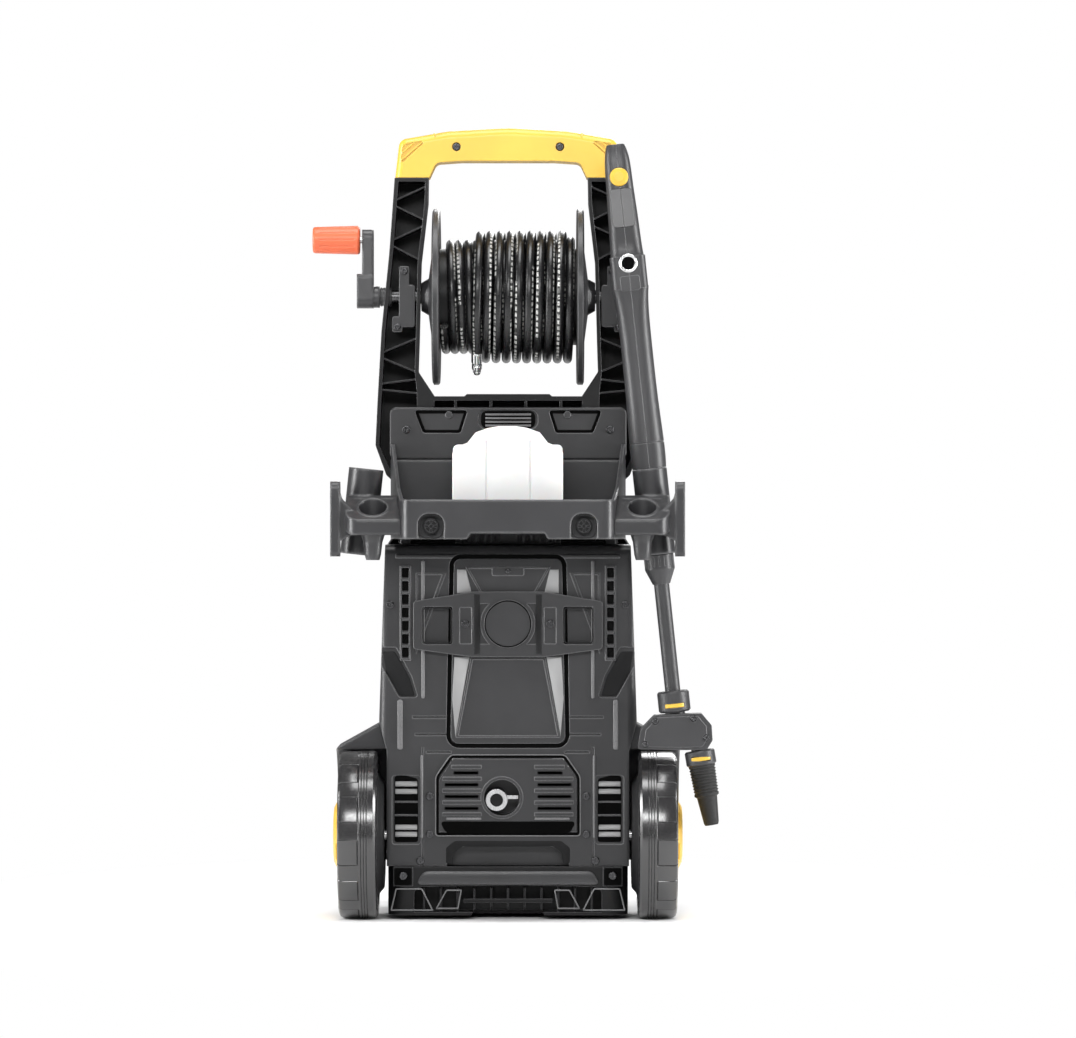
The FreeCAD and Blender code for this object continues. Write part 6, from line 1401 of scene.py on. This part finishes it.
    def upper_cover(self) -> None:
        """The bold frames of the upper cover's side fields and the ground of its vent in painted shadow, and
        the louvres of its vent, lightened as a painted highlight.
        """
        top, near = self.cover_top, self.cover_face + 1.0
        field = [(46.4, top - 0.4), (106.5, top - 0.4), (96.8, top - 25.6), (54.3, top - 25.6)]
        frame = Bench.ring("field_frame_right", field, 3.2, self.cover_face + 2.5, -1.4, 3.0)
        self.fit(frame, Paints.SHADOW_CHANNEL, 0.3)
        ground = oblong(-31.0, top - 20.6, 31.0, top - 0.6)
        self.fit(Bench.plate("vent_plate", ground, self.cover_face + 1.5, -0.7, 7.0), Paints.SHADOW_CHANNEL, 0.2)
        for i in range(self.upper_blades):
            z = top - 4.6 - i * 4.2
            section = [(near, z - 1.6), (self.cover_face - 0.7, z - 1.2), (near, z + 1.2)]
            blade = Bench.plate(f"upper_blade_{i + 1}", section, -26.0, 52.0, plane=Plane.YZ)
            self.fit(blade, Paints.LIT_EDGE, 0.2)

    def build(self) -> None:
        """Makes every detail of the rear."""
        for make in (
            self.panel_channel, self.inlet, self.facets, self.edges, self.ladders, self.louvres,
            self.bracket, self.base, self.shelf, self.water_throat, self.upper_cover,
        ):
            make()


@dataclass
class FrontDetails(CasingDetails):
    """The dial's collar, the framed vent, the front's panel lines in painted shadow and painted highlight,
    its screws in rings of painted shadow, and the side ribs.
    """

    face: float = 150.0
    dial_z: float = 300.0
    mark_reach: float = 30.5
    mark_long: float = 2.0
    mark_wide: float = 0.5
    marks: int = 9
    first_mark: float = -40.0
    mark_sweep: float = 260.0
    ribs: int = 5

    def dial(self) -> None:
        """A raised collar round the switch, with plain tick marks."""
        start = Vector((0.0, self.face, self.dial_z))
        profile = [(-1.0, 26.0), (0.8, 26.4), (2.0, 28.0), (2.0, 33.0), (0.9, 35.5), (-1.0, 36.0)]
        self.fit(Bench.lathe("dial_collar", profile, start, Axis.Y.vector(), 72, True), Paints.SHELF, 0.3)
        long, wide = self.mark_long, self.mark_wide
        for i in range(self.marks):
            angle = math.radians(self.first_mark + i * self.mark_sweep / (self.marks - 1))
            out = Vector((math.cos(angle), math.sin(angle)))
            across = Vector((-out.y, out.x))
            middle = (self.mark_reach * out.x, self.dial_z + self.mark_reach * out.y)
            corners = []
            for far, side in oblong(-long, -wide, long, wide):
                spot = out * far + across * side
                corners.append((middle[0] + spot.x, middle[1] + spot.y))
            mark = Bench.plate(f"dial_mark_{i + 1}", corners, self.face + 1.9, 0.4)
            self.fit(mark, Paints.WHITE, 0.1)

    def vent_frame(self) -> None:
        """A raised frame round the front vent, and a channel of painted shadow and a rim lightened as a
        painted highlight round the whole front field.
        """
        vent = oblong(-76.0, 102.0, 76.0, 219.0)
        self.fit(Bench.ring("vent_frame", vent, 4.0, self.face - 0.3, 2.0, 6.0), Paints.SHELF, 0.8, 3)
        field = [(-92, 84), (92, 84), (98, 225), (88, 346), (-88, 346), (-98, 225)]
        line = Bench.ring("front_channel", field, 2.4, self.face - 0.2, 0.5, 8.0)
        self.fit(line, Paints.SHADOW_CHANNEL, 0.2)
        inner = [(-89, 87), (89, 87), (95, 225), (85, 343), (-85, 343), (-95, 225)]
        self.fit(Bench.ring("front_rim", inner, 1.6, self.face - 0.2, 1.3, 7.0), Paints.LIT_EDGE, 0.4, 3)

    def screws(self) -> None:
        """Sunk screws at the corners of the front field, each in a ring of painted shadow."""
        well = [(-0.5, 3.6), (0.4, 3.8), (0.4, 5.2), (-0.5, 5.4)]
        head = [(-0.6, 3.5), (0.1, 3.4), (0.7, 2.4), (0.7, 1.5), (-0.1, 1.3), (-0.1, 0.0)]
        out = Axis.Y.vector()
        for i, (x, z) in enumerate(((-80.0, 95.0), (80.0, 95.0), (-76.0, 334.0), (76.0, 334.0))):
            start = Vector((x, self.face, z))
            self.fit(Bench.lathe(f"front_well_{i + 1}", well, start, out, 32, True), Paints.SHADOW_CHANNEL)
            self.fit(Bench.lathe(f"front_screw_{i + 1}", head, start, out, 32), Paints.SCREWS)

    def side_ribs(self) -> None:
        """Raised lengthwise ribs on both sides of the casing."""
        for i in range(self.ribs):
            y = 36.0 + i * 17.0
            rib = oblong(y, 236.0, y + 6.0, 300.0 + i * 4.0)
            piece = Bench.plate(f"side_rib_{i + 1}_right", rib, 141.2, 4.6, 2.6, Plane.YZ)
            self.fit(piece, Paints.SHELF, 1.2, 3)

    def build(self) -> None:
        """Makes every detail of the front and the sides."""
        for make in (self.dial, self.vent_frame, self.screws, self.side_ribs):
            make()


# Small turned parts of the reel, the gun and the lance


@dataclass
class SmallTurnings:
    """The sleeve on the reel's shaft, the gun's bezel and the yellow inlays of the lance's rings."""

    sleeve_place: Point = (-146.8, -25.0, 707.0)
    sleeve_ribs: int = 4
    rib_pitch: float = 3.4
    ring_place: Point = (188.47, -112.0, 235.46)
    ring_lean: float = 6.0
    nozzle_place: Point = (215.87, -112.0, 192.26)
    nozzle_lean: float = 9.5
    inlay_wall: float = 3.0

    def sleeve(self) -> None:
        """A ribbed black sleeve between the crank and its bearing block."""
        profile = [(0.0, 8.2)]
        for i in range(self.sleeve_ribs):
            at = 0.4 + i * self.rib_pitch
            profile += [(at, 10.2), (at + 0.5, 10.8), (at + 2.4, 10.8), (at + 2.9, 10.2)]
        profile.append((13.8, 8.2))
        piece = Bench.lathe("crank_sleeve", profile, Vector(self.sleeve_place), Axis.X.vector(), 48, True)
        Bench.done(piece, Paints.BODY, "reel")

    def inlay(self, body: str, place: Point, axis: Vector, low: float, high: float, radius: float) -> None:
        """A yellow band that shows in a ring's window.

        Args:
            body: The body that it rides on, which names it.
            place: The point that its ends count from.
            axis: The ring's axis.
            low: Where it starts along the axis.
            high: Where it ends along the axis.
            radius: Its radius.
        """
        bed, edge = radius - self.inlay_wall, radius - 0.4
        profile = [
            (low, bed), (low, edge), (low + 0.5, radius), (high - 0.5, radius), (high, edge), (high, bed),
        ]
        Bench.done(Bench.lathe(f"{body}_inlay", profile, Vector(place), axis, 64, True), Paints.YELLOW, body)

    def gun_inlet(self) -> None:
        """The bright ring and the throat of the gun's hose inlet, the throat darkened as painted shadow."""
        low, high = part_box("gun_inlet")
        start = Vector(((low[0] + high[0]) / 2, low[1], (low[2] + high[2]) / 2)) / MM
        bezel = [(2.0, 7.3), (0.2, 7.5), (-0.3, 8.2), (-0.3, 9.6), (0.3, 10.3), (2.0, 10.3)]
        ring = Bench.lathe("inlet_bezel", bezel, start, Axis.Y.vector(), 64, True)
        Bench.done(ring, Paints.CHROME, "gun")
        profile = [(-0.1, 7.4), (0.4, 4.5), (0.3, 2.0), (0.0, 0.0)]
        throat = Bench.lathe("inlet_throat", profile, start, Axis.Y.vector(), 48)
        Bench.done(throat, Paints.SHADOW_CHANNEL, "gun")

    def build(self) -> None:
        """Makes the sleeve, the gun's bezel and both inlays."""
        self.sleeve()
        self.gun_inlet()
        lean = math.radians(self.ring_lean)
        up = Vector((-math.sin(lean), 0.0, math.cos(lean)))
        self.inlay("lance", self.ring_place, up, 5.1, 9.9, 17.6)
        lean = math.radians(self.nozzle_lean)
        down = Vector((math.sin(lean), 0.0, -math.cos(lean)))
        self.inlay("nozzle", self.nozzle_place, down, 6.9, 11.8, 16.6)


# The carried-over CAD nodes

NODE_FINISHES: tuple[tuple[Finish, str], ...] = (
    (Paints.BODY, "rear_cover inlet_panel accessory_bracket upper_rear_cover bearing_blocks reel_flanges"),
    (Paints.FRAME, "base_frame wheel_left wheel_right handle_frame reel_drum tank_cap trigger cooling_fan"),
    (Paints.SHELF, "front_cover fenders crank_arm basket wing_right wing_left"),
    (Paints.GUN, "gun_shell_left gun_shell_right gun_barrel lance_collar lance_tube lance_ring angle_head"),
    (Paints.GUN, "head_cover nozzle_ring"),
    (Paints.SOFT_GREY, "gun_panel"),
    (Paints.PAD, "front_feet cable_gland nozzle"),
    (Paints.YELLOW, "hubcap_left hubcap_right switch_knob handle_grip_rear handle_grip_front lock_button"),
    (Paints.ORANGE, "crank_grip"),
    (Paints.WHITE, "detergent_tank"),
    (Paints.TYRE, "tyre_left tyre_right"),
    (Paints.SHAFT, "reel_shaft"),
    (Paints.STEEL, "axle crank_pin stator rotor wobble_plate plungers inlet_fitting"),
    (Paints.SCREWS, "head_screws cover_screws"),
    (Paints.CHROME, "reel_swivel hose_connector gun_inlet"),
    (Paints.CAST, "pump_body"),
    (Paints.CAN, "motor_housing"),
)


def dress_frame(nodes: dict[str, Piece]) -> None:
    """Gives every CAD node that still shows its finish.

    Args:
        nodes: The CAD nodes' objects by name.
    """
    for finish, names in NODE_FINISHES:
        for name in names.split():
            if not nodes[name].hide_render:
                Paints.dress(nodes[name], finish)
                LOG.info("%s: %s", name, finish.name)


def main() -> None:
    """Builds the visual model round the frame."""
    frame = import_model()
    nodes = frame["nodes"]
    Studio().build()
    WoundHose().build(nodes["hose_connector"])
    Wheels().build()
    Tank().build()
    RearDetails().build()
    FrontDetails().build()
    SmallTurnings().build()
    dress_frame(nodes)


if __name__ == "__main__":
    logging.basicConfig(level=logging.INFO, format="%(message)s")
    main()
